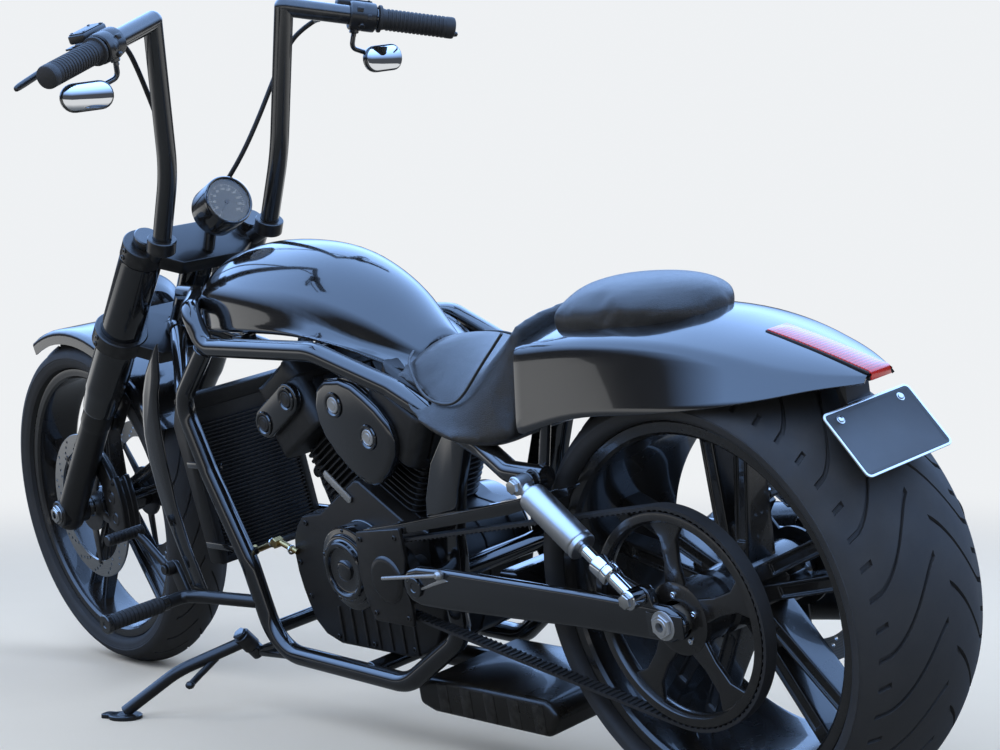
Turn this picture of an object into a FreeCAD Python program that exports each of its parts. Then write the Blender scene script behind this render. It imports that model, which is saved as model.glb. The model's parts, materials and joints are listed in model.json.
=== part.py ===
# Cruiser motorcycle with a low, stretched chassis, parked on its side stand.
# Millimetres and degrees. The bike is drawn upright: +X forward, +Y to the rider's left, +Z up,
# the ground at z = 0 and x = 0 halfway between the axles. At the end every solid is leaned over
# on the stand and the origin goes to the middle of the floor under it.
import FreeCAD, Part
import math
import os
from FreeCAD import Placement, Rotation, Vector

# Driving sizes of the chassis
wheelbase = 1745.0
lean_deg = 11.7
steer_rest_deg = -3.0
steer_rake_deg = 36.0
fork_rake_deg = 42.5
trail = 130.0

# Wheels and tyres
rear_tyre_r = 338.0
rear_tyre_half = 131.0
rear_crown_r = 190.0
rear_crown_half = 95.0
rear_flange_r = 266.0
rear_flange_half = 114.0
front_tyre_r = 345.0
front_tyre_half = 63.0
front_crown_r = 68.0
front_crown_half = 46.0
front_flange_r = 282.0
front_flange_half = 49.0
rim_wall = 9.0
rear_spoke_count = 5
front_spoke_count = 5
axle_r = 12.5
axle_fit = 0.05
axle_bore_r = 7.0
hub_gap = 1.0

# Brakes and final drive
disc_wall = 5.0
front_disc_r = 150.0
rear_disc_r = 146.0
seat_fit = 0.3
pulley_r = 152.0
pulley_w = 24.0
belt_w = 22.0
belt_wall = 7.0
belt_gap = 0.5
tyre_gap = 6.0
drive_sprocket_r = 52.0
drive_sprocket_x = -250.0

# Fork and handlebar
fork_half = 110.0
fork_cover_r = 39.0
fork_lower_r = 30.0
fork_cover_low_s = 300.0
stanchion_r = 21.0
stem_r = 15.0
stem_fit = 0.05
headstock_r = 32.0
upper_clamp_s = 712.0
lower_clamp_s = 498.0
clamp_wall = 34.0
bearing_gap = 1.0
bar_r = 17.0
grip_r = 19.5
grip_length = 130.0

# Frame and swingarm
rail_r = 17.0
rail_half = 150.0
swing_pivot_x = -335.0
swing_pivot_z = 336.0
swing_pivot_r = 17.0
swing_wall = 18.0
arm_gap = 4.0

# Engine
crank_x = -105.0
crank_z = 330.0
cylinder_tilt_deg = 30.0
case_half = 128.0
cover_r = 72.0

# Side stand
stand_pivot = Vector(232.0, 152.0, 168.0)
stand_axis = Vector(0.04, 0.70, 1.0)
stand_foot_park = Vector(368.0, 352.0, 0.0)
stand_leg_r = 11.0
stand_pin_r = 6.0
stand_fit = 0.05

# Bodywork
panel_wall = 4.0

os.makedirs("parts", exist_ok=True)
X_AXIS = Vector(1, 0, 0)
Y_AXIS = Vector(0, 1, 0)
Z_AXIS = Vector(0, 0, 1)
rear_axle = Vector(-wheelbase / 2, 0, rear_tyre_r)
front_axle = Vector(wheelbase / 2, 0, front_tyre_r)


# Small geometry helpers
def rad(degrees):
    return math.radians(degrees)


def toward(degrees):
    # unit vector in the XZ plane that leans back from vertical by this angle
    return Vector(-math.sin(rad(degrees)), 0, math.cos(rad(degrees)))


steer_dir = toward(steer_rake_deg)
steer_ground = Vector(wheelbase / 2 + trail, 0, 0)
fork_dir = toward(fork_rake_deg)
fork_normal = Vector(math.cos(rad(fork_rake_deg)), 0, math.sin(rad(fork_rake_deg)))


def mirrored(shape):
    return shape.mirror(Vector(0, 0, 0), Y_AXIS)


def both_sides(shape):
    return [shape, mirrored(shape)]


def fused(shapes):
    shapes = list(shapes)
    return shapes[0].multiFuse(shapes[1:]).removeSplitter() if len(shapes) > 1 else shapes[0]


def rod(start, end, radius):
    return Part.makeCylinder(radius, (end - start).Length, start, end - start)


def ring(centre, axis, radius, bore, width):
    start = centre - axis * (width / 2)
    outer = Part.makeCylinder(radius, width, start, axis)
    return outer.cut(Part.makeCylinder(bore, width, start, axis)) if bore > 0 else outer


def face(points):
    # points: flat list of Vectors; a pair in a tuple is (middle of an arc, its end)
    edges = []
    last = points[0]
    for item in points[1:] + [points[0]]:
        if isinstance(item, tuple):
            edges.append(Part.Arc(last, item[0], item[1]).toShape())
            last = item[1]
        elif (item - last).Length > 1e-6:
            edges.append(Part.LineSegment(last, item).toShape())
            last = item
    return Part.Face(Part.Wire(edges))


def side_plate(points, y_low, y_high):
    # outline in the XZ plane, points as (x, z) or ((x, z), (x, z)) for an arc
    def at(pair):
        return Vector(pair[0], y_low, pair[1])
    outline = [(at(p[0]), at(p[1])) if isinstance(p[0], tuple) else at(p) for p in points]
    return face(outline).extrude(Vector(0, y_high - y_low, 0))


def turned(centre, profile):
    # profile in (radius, y) turned round the wheel's axis; arcs as in side_plate
    def at(pair):
        return Vector(centre.x + pair[0], centre.y + pair[1], centre.z)
    outline = [(at(p[0]), at(p[1])) if isinstance(p[0], tuple) else at(p) for p in profile]
    return face(outline).revolve(centre, Y_AXIS, 360)


def tube(points, radius, bends):
    # round tube along straight runs joined by tangent arcs, one bend radius per inner point
    path = []
    last = points[0]
    for index in range(1, len(points) - 1):
        corner = points[index]
        back = (points[index - 1] - corner).normalize()
        ahead = (points[index + 1] - corner).normalize()
        half = back.getAngle(ahead) / 2
        reach = bends[index - 1] / math.tan(half)
        middle = (back + ahead).normalize() * (bends[index - 1] / math.sin(half) - bends[index - 1])
        path.append(Part.LineSegment(last, corner + back * reach).toShape())
        path.append(Part.Arc(corner + back * reach, corner + middle, corner + ahead * reach).toShape())
        last = corner + ahead * reach
    path.append(Part.LineSegment(last, points[-1]).toShape())
    start = Part.Wire([Part.makeCircle(radius, points[0], points[1] - points[0])])
    return Part.Wire(path).makePipeShell([start], True, False)


def lofted(sections):
    return Part.makeLoft([Part.Wire(section) for section in sections], True, False)


# How the bike comes to rest: leaned over, both tyres and the stand's foot on the floor
def crown_low(centre, axle_dir, radius, crown):
    return centre.z - (radius - crown) * math.sqrt(1 - axle_dir.z ** 2) - crown


lean = Placement(Vector(0, 0, 0), Rotation(X_AXIS, -lean_deg))
steer = Placement(Vector(0, 0, 0), Rotation(steer_dir, steer_rest_deg), steer_ground)
steered_axle = steer.multVec(front_axle)
steered_axle_dir = steer.Rotation.multVec(Y_AXIS)
low_rear = crown_low(lean.multVec(rear_axle), lean.multVec(Y_AXIS), rear_tyre_r, rear_crown_r)
low_front = crown_low(lean.multVec(steered_axle), lean.Rotation.multVec(steered_axle_dir),
                      front_tyre_r, front_crown_r)
pitch = math.degrees(math.atan((low_front - low_rear) / (steered_axle.x - rear_axle.x)))
tilt = Placement(Vector(0, 0, 0), Rotation(Y_AXIS, pitch), lean.multVec(rear_axle))
settle = Placement(Vector(0, 0, -low_rear), Rotation())
park = settle.multiply(tilt.multiply(lean))


# Rear wheel: tyre, split-spoke wheel, belt pulley and disc
def tyre_shape(centre, radius, half, crown_r, crown_half, flange_r, flange_half, shoulder_drop, shoulder_in, seat):
    # section: round crown, bulged walls, and beads inside the rim's lips
    crown_z = radius - crown_r + math.sqrt(crown_r ** 2 - crown_half ** 2)
    upper = [(flange_r + 2.5, flange_half + 1), ((flange_r + 4, flange_half + 8), (flange_r + 14, half - 1)),
             ((crown_z - shoulder_drop, half - shoulder_in), (crown_z, crown_half))]
    lower = [((crown_z - shoulder_drop, shoulder_in - half), (flange_r + 14, 1 - half)),
             ((flange_r + 4, -flange_half - 8), (flange_r + 2.5, -flange_half - 1))]
    bead = [(1.6, 4.5), (-4, 7), (-12, seat + 0.2)]
    right = [(flange_r + r, inward - flange_half) for r, inward in bead]
    left = [(flange_r + r, flange_half - inward) for r, inward in reversed(bead)]
    return turned(centre, upper + [((radius, 0), (crown_z, -crown_half))] + lower + right + left)


def rim_shape(centre, flange_r, half, seat_drop, seat_half):
    # the rim's channel: two flanges, the tyre's seat and the well between them
    inner = flange_r - 12 - rim_wall
    return turned(centre, [
        (flange_r - 4, half - 6.3), (flange_r - 12.3, half - seat_drop), (flange_r - 12.3, seat_drop - half),
        (flange_r - 4, 6.3 - half), (flange_r, -half + 5), ((flange_r + 1, -half + 1), (flange_r - 4.3, -half)),
        (inner + 6, -half), (inner, -seat_half), (inner, seat_half), (inner + 6, half),
        (flange_r - 4.3, half), ((flange_r + 1, half - 1), (flange_r, half - 5))])


def hub_shape(centre, radius, half):
    return ring(centre, Y_AXIS, radius, axle_r + axle_fit, 2 * half)


def spoke_pair(centre, hub_r, rim_r, spread_hub, spread_rim, width_hub, width_rim, half_hub, half_rim):
    # two bars from the hub to the rim that open like a narrow V, thinner at the rim
    bars = []
    for sign in (1, -1):
        inner_x = sign * spread_hub
        outer_x = sign * spread_rim
        sections = []
        for x, z, w, h in ((inner_x, hub_r, width_hub, half_hub), (outer_x, rim_r, width_rim, half_rim)):
            corner = [Vector(x - w / 2, -h, z), Vector(x + w / 2, -h, z),
                      Vector(x + w / 2, h, z), Vector(x - w / 2, h, z)]
            corner.append(corner[0])
            sections.append(Part.makePolygon(corner))
        bars.append(Part.makeLoft(sections, True, True))
    pair = fused(bars)
    pair.translate(centre)
    return pair


def wheel_shape(centre, rim, hub, pair, count):
    spokes = []
    for index in range(count):
        spoke = pair.copy()
        spoke.rotate(centre, Y_AXIS, index * 360.0 / count)
        spokes.append(spoke)
    return fused([rim, hub] + spokes)


rear_hub_r = 46.0
rear_hub_half = 96.0
rear_inner_r = rear_flange_r - 12 - rim_wall
rear_tyre = tyre_shape(rear_axle, rear_tyre_r, rear_tyre_half, rear_crown_r, rear_crown_half,
                       rear_flange_r, rear_flange_half, 16, 8, 14.3)
rear_rim = rim_shape(rear_axle, rear_flange_r, rear_flange_half, 14.3, 60.0)
rear_pair = spoke_pair(rear_axle, rear_hub_r - 8, rear_inner_r + 3, 13.0, 34.0, 24.0, 20.0, 30.0, 16.0)
rear_wheel = wheel_shape(rear_axle, rear_rim, hub_shape(rear_axle, rear_hub_r, rear_hub_half),
                         rear_pair, rear_spoke_count)
front_hub_r = 34.0
front_hub_half = 62.0
front_inner_r = front_flange_r - 12 - rim_wall
front_tyre = tyre_shape(front_axle, front_tyre_r, front_tyre_half, front_crown_r, front_crown_half,
                        front_flange_r, front_flange_half, 12, 1, 12.3)
front_rim = rim_shape(front_axle, front_flange_r, front_flange_half, 12.3, 30.0)
front_pair = spoke_pair(front_axle, front_hub_r - 6, front_inner_r + 3, 8.0, 26.0, 15.0, 13.0, 18.0, 10.0)
front_wheel = wheel_shape(front_axle, front_rim, hub_shape(front_axle, front_hub_r, front_hub_half),
                          front_pair, front_spoke_count)


front_disc_y = front_hub_half + seat_fit + disc_wall / 2
rear_disc_y = -rear_hub_half - seat_fit - disc_wall / 2
pulley_web = 9.0
pulley_y = rear_tyre_half + tyre_gap + belt_w / 2


def disc_shape(centre, radius, y, carrier_r, bore):
    # brake rotor joined to its carrier by five arms, with a wavy row of slots in its face
    spot = Vector(centre.x, y, centre.z)
    rotor = ring(spot, Y_AXIS, radius, radius - 34, disc_wall)
    carrier = ring(spot, Y_AXIS, carrier_r, bore, disc_wall)
    arms = []
    for index in range(5):
        arm = Part.makeBox(16, disc_wall, radius - 30 - (carrier_r - 6),
                           Vector(spot.x - 8, y - disc_wall / 2, spot.z + carrier_r - 6))
        arm.rotate(spot, Y_AXIS, index * 72 + 36)
        arms.append(arm)
    return fused([rotor, carrier] + arms)


def pulley_shape():
    # toothed-belt pulley: a rim the belt's width, a dished web with five windows, and its boss
    spot = Vector(rear_axle.x, pulley_y, rear_axle.z)
    rim = ring(spot, Y_AXIS, pulley_r, pulley_r - 12, pulley_w)
    web = ring(spot, Y_AXIS, pulley_r - 8, axle_r + 14, pulley_web)
    spacer_y = rear_hub_half + seat_fit
    spacer = ring(Vector(spot.x, (spacer_y + pulley_y) / 2, spot.z), Y_AXIS, rear_hub_r, axle_r + 14,
                  pulley_y - spacer_y)
    for index in range(5):
        window = side_plate([(-34, 72), ((0, 62), (34, 72)), (52, 118), ((0, 134), (-52, 118))],
                            pulley_y - pulley_web, pulley_y + pulley_web)
        window.translate(Vector(rear_axle.x, 0, rear_axle.z))
        window.rotate(spot, Y_AXIS, index * 72 + 36)
        web = web.cut(window)
    return fused([rim, web, spacer])


# Rear axle, its spacers and end caps
swing_tip_y = pulley_y + pulley_w / 2 + arm_gap + swing_wall
rear_axle_shape = fused([
    rod(Vector(rear_axle.x, -swing_tip_y - 16, rear_axle.z), Vector(rear_axle.x, swing_tip_y + 16, rear_axle.z),
        axle_r),
    rod(Vector(rear_axle.x, rear_hub_half + hub_gap, rear_axle.z),
        Vector(rear_axle.x, swing_tip_y - swing_wall, rear_axle.z), axle_r + 8),
    rod(Vector(rear_axle.x, -rear_hub_half - hub_gap, rear_axle.z),
        Vector(rear_axle.x, swing_wall - swing_tip_y, rear_axle.z), axle_r + 8),
    rod(Vector(rear_axle.x, swing_tip_y + 0.3, rear_axle.z), Vector(rear_axle.x, swing_tip_y + 18, rear_axle.z), 21),
    rod(Vector(rear_axle.x, -swing_tip_y - 0.3, rear_axle.z), Vector(rear_axle.x, -swing_tip_y - 18, rear_axle.z),
        21)])
rear_axle_shape = rear_axle_shape.cut(
    rod(Vector(rear_axle.x, -swing_tip_y - 20, rear_axle.z), Vector(rear_axle.x, swing_tip_y + 20, rear_axle.z),
        axle_bore_r))


# Swingarm: two plate-like arms, the pivot tube and a bridge ahead of the tyre
def swing_arm_side():
    y_in = swing_tip_y - swing_wall
    px, pz = swing_pivot_x, swing_pivot_z
    ax, az = rear_axle.x, rear_axle.z
    arm = side_plate([
        (px, pz - 32), ((px + 32, pz), (px, pz + 32)), (px - 70, pz + 34), (ax + 170, az + 30), (ax, az + 26),
        ((ax - 40, az), (ax, az - 26)), (ax + 170, az - 26), (px - 70, pz - 32)], y_in, swing_tip_y)
    hole = rod(Vector(ax, y_in - 1, az), Vector(ax, swing_tip_y + 1, az), axle_r + axle_fit)
    stud = rod(Vector(shock_low.x, swing_tip_y - 4, shock_low.z), Vector(shock_low.x, shock_low.y + 15, shock_low.z), 6)
    ear = side_plate([(shock_low.x - 24, az + 10), (shock_low.x + 26, az + 10), (shock_low.x + 15, shock_low.z + 10),
                      (shock_low.x - 15, shock_low.z + 10)], y_in, swing_tip_y)
    return fused([arm, ear, stud]).cut(hole)


# Shock absorbers, one each side between the swingarm and the frame
shock_top = Vector(-640.0, 194.0, 524.0)
shock_low = Vector(-834.0, 194.0, 376.0)
shock_run = (shock_low - shock_top).normalize()
shock_eye_r = 14.0
shock_stud_r = 6.0
shock_body_length = 118.0


def shock_parts():
    eye_bore = shock_stud_r + seat_fit
    body = fused([
        rod(shock_top + shock_run * 20, shock_top + shock_run * (20 + shock_body_length), 22),
        rod(shock_top, shock_top + shock_run * 22, 11),
        ring(shock_top, Y_AXIS, shock_eye_r, 0, 24)]).cut(ring(shock_top, Y_AXIS, eye_bore, 0, 60))
    start = shock_top + shock_run * (20 + shock_body_length + seat_fit)
    piston = fused([
        rod(start, shock_low - shock_run * 4, 9), rod(start + shock_run * 30, start + shock_run * 62, 16),
        ring(shock_low, Y_AXIS, shock_eye_r, 0, 24)]).cut(ring(shock_low, Y_AXIS, eye_bore, 0, 60))
    return body, piston


shock_body, shock_rod = shock_parts()
rear_clear_x = rear_axle.x + rear_tyre_r + 14
swing_inner = swing_tip_y - swing_wall
swing_bridge = side_plate([
    (rear_clear_x + 6, swing_pivot_z - 24), (rear_clear_x + 46, swing_pivot_z - 24),
    (rear_clear_x + 46, swing_pivot_z + 24), (rear_clear_x + 6, swing_pivot_z + 24)],
    -swing_inner, pulley_y - pulley_w / 2 - 8)
pivot_tube = rod(Vector(swing_pivot_x, -swing_inner, swing_pivot_z), Vector(swing_pivot_x, swing_inner, swing_pivot_z),
                 swing_pivot_r)
swingarm = Part.Compound(both_sides(swing_arm_side()) + [swing_bridge, pivot_tube])

# Main frame: headstock, two upper rails, two front tubes that run into the lower cradle
def on_steer(s, back=0.0):
    return steer_ground + steer_dir * s - Vector(math.cos(rad(steer_rake_deg)), 0, math.sin(rad(steer_rake_deg))) * back


def steer_s(fork_s):
    # where the plane square to the fork at this height cuts the steering axis
    point = front_axle + fork_dir * fork_s
    return (point - steer_ground).dot(fork_dir) / steer_dir.dot(fork_dir)


slant = headstock_r * math.tan(rad(fork_rake_deg - steer_rake_deg))
headstock_low_s = steer_s(lower_clamp_s + clamp_wall / 2) + slant + bearing_gap
headstock_high_s = steer_s(upper_clamp_s - clamp_wall / 2) - slant - bearing_gap
head_low = on_steer(headstock_low_s)
head_high = on_steer(headstock_high_s)
head_mid = on_steer((headstock_low_s + headstock_high_s) / 2)
rail_end_half = rear_tyre_half + tyre_gap + rail_r
cradle_half = 128.0
pivot_half = 108.0
rail_back = [Vector(-300, 132, 640), Vector(-500, 132, 552), Vector(-574, rail_end_half, 528),
             Vector(-652, rail_end_half, 524)]
rail_bend = Vector(186, rail_half, 706)
rail_front = [Vector(head_mid.x - 6, 18, head_mid.z + 6), Vector(322, 60, 782), Vector(216, rail_half, 768), rail_bend,
              Vector(-130, rail_half, 701)]
upper_rail = tube(rail_front + rail_back, rail_r, [60, 42, 42, 110, 110, 60, 40])
front_tube = tube([
    rail_bend, Vector(300, rail_half - 2, 606), Vector(262, 144, 480), Vector(196, 136, 310),
    Vector(168, cradle_half, 150), Vector(-200, cradle_half, 140), Vector(swing_pivot_x, pivot_half, 230),
    Vector(swing_pivot_x, pivot_half, 300)], rail_r, [60, 120, 120, 80, 90, 50])
head_brace = rod(Vector(head_low.x - 14, 18, head_low.z + 16), Vector(296, rail_half - 4, 604), rail_r - 2)
pivot_plate = side_plate([
    (-316, 460), (-344, 520), (-410, 596), (-452, 590), (-402, 480), (-378, 400), ((-372, 336), (-352, 280)),
    (-318, 280), ((-298, 336), (-306, 400))], pivot_half - 10, pivot_half + 12)
plate_arm = rod(Vector(-424, pivot_half, 582), Vector(-424, 130, 585), 14)
headstock = rod(head_low, head_high, headstock_r)
frame_side = fused([upper_rail, front_tube, head_brace, pivot_plate, plate_arm])
cross_low = rod(Vector(-100, -cradle_half, 150), Vector(-100, cradle_half, 150), rail_r - 3)
cross_front = rod(Vector(172, -cradle_half - 2, 190), Vector(172, cradle_half + 2, 190), rail_r - 4)
cross_rear = rod(Vector(-436, -pivot_half - 4, 580), Vector(-436, pivot_half + 4, 580), rail_r - 2)
shock_tab = rod(Vector(shock_top.x, rail_end_half, shock_top.z),
                Vector(shock_top.x, shock_top.y - 12.3, shock_top.z), 14)
shock_stud = rod(Vector(shock_top.x, rail_end_half, shock_top.z), Vector(shock_top.x, shock_top.y + 15, shock_top.z),
                 shock_stud_r)
main_frame = fused([frame_side, mirrored(frame_side), headstock, cross_low, cross_front, cross_rear,
                    shock_tab, mirrored(shock_tab), shock_stud, mirrored(shock_stud)])
radiator_tab = fused([side_plate([(255, 474), (356, 474), (356, 486), (255, 486)], 118.3, 130),
                      side_plate([(188, 324), (342, 324), (342, 336), (188, 336)], 118.3, 130)])
main_frame = fused([main_frame, radiator_tab, mirrored(radiator_tab)])
main_frame = main_frame.cut(rod(on_steer(headstock_low_s - 1), on_steer(headstock_high_s + 1), stem_r + stem_fit))
main_frame = main_frame.cut(rod(Vector(swing_pivot_x, -130, swing_pivot_z), Vector(swing_pivot_x, 130, swing_pivot_z),
                                swing_pivot_r + seat_fit))
stand_dir = Vector(stand_axis).normalize()
stand_eye_half = 16.0
stand_root = stand_pivot - stand_dir * 32
stand_boss = fused([
    rod(stand_root, Vector(156, cradle_half + 1, 166), 8), rod(stand_root, Vector(96, cradle_half, 148), 8),
    rod(stand_pivot - stand_dir * 38, stand_pivot - stand_dir * (stand_eye_half + 1), 14),
    rod(stand_pivot - stand_dir * 20, stand_pivot + stand_dir * (stand_eye_half + 3), stand_pin_r),
    rod(stand_pivot + stand_dir * (stand_eye_half + 1), stand_pivot + stand_dir * (stand_eye_half + 7), 13)])
main_frame = fused([main_frame, stand_boss])


# Side stand: eye, curved leg and the foot plate that lies flat on the floor
def side_stand_shape():
    foot_top = park.inverse().multVec(stand_foot_park + Vector(0, 0, 12))
    eye = ring(stand_pivot, stand_dir, 16, stand_pin_r + stand_fit, 2 * stand_eye_half)
    knee = stand_pivot + (foot_top - stand_pivot) * 0.5 + Vector(0, 14, 14)
    start = stand_pivot + (knee - stand_pivot).normalize() * 8
    leg = tube([start, knee, foot_top], stand_leg_r, [160])
    tang = rod(stand_pivot + (foot_top - stand_pivot) * 0.25, stand_pivot + Vector(20, 118, -46), 6)
    pad = Part.makeCylinder(30, 8, Vector(0, 0, 0), Z_AXIS)
    pad = fused([pad, Part.makeBox(44, 30, 8, Vector(0, -15, 0))])
    pad.Placement = park.inverse().multiply(Placement(stand_foot_park, Rotation(Z_AXIS, 30)))
    whole = fused([eye, leg, tang, pad])
    return whole.cut(rod(stand_pivot - stand_dir * 30, stand_pivot + stand_dir * 30, stand_pin_r + stand_fit))


# Engine: crankcase, two finned cylinders with heads, side covers
def on_bank(tilt_deg, reach, across=0.0):
    along = toward(tilt_deg)
    side = Vector(math.cos(rad(tilt_deg)), 0, math.sin(rad(tilt_deg)))
    return Vector(crank_x, 0, crank_z) + along * reach + side * across


def bank_block(tilt_deg, low, high, width, half):
    corner = [on_bank(tilt_deg, low, -width / 2), on_bank(tilt_deg, low, width / 2),
              on_bank(tilt_deg, high, width / 2), on_bank(tilt_deg, high, -width / 2)]
    block = face([c + Vector(0, -half, 0) for c in corner]).extrude(Vector(0, 2 * half, 0))
    return block


deck_reach = 124.0
head_base = 232.0
head_top = 330.0
case_block_half = case_half - 32


def crankcase_shape():
    # V-shaped top with a flat deck for each cylinder, round sump corners below
    rear = [on_bank(cylinder_tilt_deg, deck_reach, side) for side in (64, -64)]
    front = [on_bank(-cylinder_tilt_deg, deck_reach, side) for side in (64, -64)]
    return side_plate([
        (96, 232), ((116, 320), (70, 396)), (front[0].x, front[0].z), (front[1].x, front[1].z),
        (rear[0].x, rear[0].z), (rear[1].x, rear[1].z), (-270, 398), ((-304, 360), (-304, 300)), (-250, 200),
        (-180, 170), (20, 170)], -case_block_half, case_block_half)


def cylinder_shape(tilt_deg):
    return bank_block(tilt_deg, deck_reach + seat_fit, head_base, 124, 76)


def head_shape(tilt_deg):
    return bank_block(tilt_deg, head_base + seat_fit, head_top, 146, 112)


def head_cover_shape(tilt_deg):
    return bank_block(tilt_deg, head_top + seat_fit, head_top + 36, 124, 104)


def round_cover_shape():
    centre = Vector(crank_x, 0, crank_z)
    y0 = case_block_half + seat_fit
    return fused([
        ring(centre + Vector(0, y0 + 22, 0), Y_AXIS, cover_r, 0, 44),
        ring(centre + Vector(0, y0 + 48, 0), Y_AXIS, cover_r - 12, 0, 8),
        ring(centre + Vector(0, y0 + 55, 0), Y_AXIS, cover_r - 22, cover_r - 32, 6),
        ring(centre + Vector(0, y0 + 55, 0), Y_AXIS, 18, 0, 6)])


crankcase = crankcase_shape()

# Radiator between the front tubes, with a moulded shroud each side
radiator = side_plate([(372, 604), (398, 548), (360, 290), (318, 290), (350, 548), (334, 604)], -118, 118)
shroud_outline = [(306, 716), ((384, 640), (408, 548)), ((400, 400), (338, 262)), (300, 262),
                  ((352, 400), (352, 548)), ((346, 600), (322, 640))]
shroud_left = side_plate(shroud_outline, rail_half + rail_r + 3, rail_half + rail_r + 9)

# Tank-shaped cover over the intake
tank_table = (  # x, z of the crown, z of the shoulder, half width at the shoulder, half width at the foot, z foot
    (280, 816, 776, 82, 80, 726),
    (236, 846, 792, 106, 110, 722),
    (120, 863, 788, 124, 130, 724),
    (-40, 850, 758, 116, 128, 718),
    (-160, 800, 706, 90, 120, 696),
    (-240, 736, 676, 62, 98, 666),
    (-280, 700, 660, 46, 84, 650))


def body_section(x, crown, shoulder, half, foot_half, foot):
    # closed outline across the body: flat foot, upright sides and one arc over the top
    left_low = Vector(x, foot_half, foot)
    left_high = Vector(x, half, shoulder)
    right_high = Vector(x, -half, shoulder)
    right_low = Vector(x, -foot_half, foot)
    return [Part.LineSegment(right_low, left_low).toShape(), Part.LineSegment(left_low, left_high).toShape(),
            Part.Arc(left_high, Vector(x, 0, crown), right_high).toShape(),
            Part.LineSegment(right_high, right_low).toShape()]


rail_front_room = tube(rail_front, rail_r + panel_wall, [60, 42, 42])
head_room = fused([bank_block(tilt, head_top, head_top + 42, 132, 112)
                   for tilt in (cylinder_tilt_deg, -cylinder_tilt_deg)])
tank = lofted([body_section(*row) for row in tank_table])
tank = tank.cut(fused([rail_front_room, mirrored(rail_front_room)])).cut(head_room)

# Seat: a scooped saddle that wraps down over the rails
seat_table = (
    (-286, 704, 688, 62, 112, 668),
    (-320, 704, 674, 108, 150, 644),
    (-390, 680, 632, 142, 178, 592),
    (-460, 676, 624, 142, 178, 564),
    (-524, 714, 680, 134, 172, 560),
    (-592, 762, 744, 124, 162, 570))
seat = lofted([body_section(*row) for row in seat_table])
rail_room = tube([Vector(-130, rail_half, 701)] + rail_back, rail_r + seat_fit, [110, 60, 40])
seat = seat.cut(fused([rail_room, mirrored(rail_room)])).cut(side_plate(
    [(-250, 500), (-640, 500), (-640, 560), (-560, 600), (-330, 650), (-250, 650)], -124, 124))

pillion_table = (
    (-640, 778, 752, 100, 96, 700),
    (-700, 788, 762, 108, 106, 700),
    (-790, 788, 762, 104, 100, 700),
    (-850, 780, 758, 82, 76, 700),
    (-888, 766, 750, 40, 34, 700))
pillion_full = lofted([body_section(*row) for row in pillion_table])

# Tail fender: a shell over the rear tyre, open underneath
tail_table = (
    (-596, 728, 706, 130, 150, 580),
    (-720, 742, 716, 132, 152, 612),
    (-860, 738, 712, 124, 148, 622),
    (-960, 716, 696, 108, 138, 630),
    (-1040, 692, 674, 88, 114, 638),
    (-1096, 673, 660, 62, 74, 643),
    (-1146, 655, 651, 26, 32, 643))
tail_outer = lofted([body_section(*row) for row in tail_table])
inner_rows = []
for x, crown, shoulder, half, foot_half, foot in tail_table:
    inner_rows.append((x, crown - panel_wall, shoulder - panel_wall, half - panel_wall, foot_half - panel_wall, foot - 40))
inner_rows[0] = (tail_table[0][0] + 1,) + inner_rows[0][1:]
inner_rows[-1] = (tail_table[-1][0] + 6,) + inner_rows[-1][1:]
tail_inner = lofted([body_section(*row) for row in inner_rows])
tail = tail_outer.cut(tail_inner)
pillion = pillion_full.cut(tail_outer)


# Fork, clamps and what turns with them
def on_fork(s, side=0.0, ahead=0.0):
    return front_axle + fork_dir * s + fork_normal * ahead + Vector(0, side, 0)


upper_under = upper_clamp_s - clamp_wall / 2


def fork_cover_shape():
    # fat tapered sleeve that hides the fork leg from the lower slider to the upper clamp
    neck = fork_cover_low_s + 60
    top = upper_under - seat_fit
    cone = Part.makeCone(fork_lower_r + 2, fork_cover_r, 60, on_fork(fork_cover_low_s, fork_half), fork_dir)
    sleeve = rod(on_fork(neck, fork_half), on_fork(top, fork_half), fork_cover_r)
    bore = rod(on_fork(fork_cover_low_s - 1, fork_half), on_fork(top + 1, fork_half), stanchion_r + seat_fit)
    return fused([cone, sleeve]).cut(bore)


def fork_leg_shape():
    slider = rod(on_fork(-34, fork_half), on_fork(fork_cover_low_s - seat_fit, fork_half), fork_lower_r)
    stanchion = rod(on_fork(fork_cover_low_s - 10, fork_half), on_fork(upper_clamp_s + 20, fork_half), stanchion_r)
    bore = rod(front_axle + Vector(0, fork_half - 50, 0), front_axle + Vector(0, fork_half + 50, 0),
               axle_r + axle_fit)
    return fused([slider, stanchion]).cut(bore)


def clamp_shape(fork_s, leg_r, back):
    # a triple clamp: two bored ends and the bridge between them
    low = fork_s - clamp_wall / 2
    high = fork_s + clamp_wall / 2
    ends = [rod(on_fork(low, side), on_fork(high, side), leg_r + 11) for side in (fork_half, -fork_half)]
    outline = [(fork_half, leg_r), (fork_half, -leg_r), (62, -back), (-62, -back), (-fork_half, -leg_r),
               (-fork_half, leg_r), (-60, leg_r + 6), (60, leg_r + 6)]
    bridge = face([on_fork(low + 2, side, ahead) for side, ahead in outline]).extrude(fork_dir * (clamp_wall - 4))
    return fused(ends + [bridge])


lower_clamp = clamp_shape(lower_clamp_s, fork_cover_r, 78)


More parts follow.
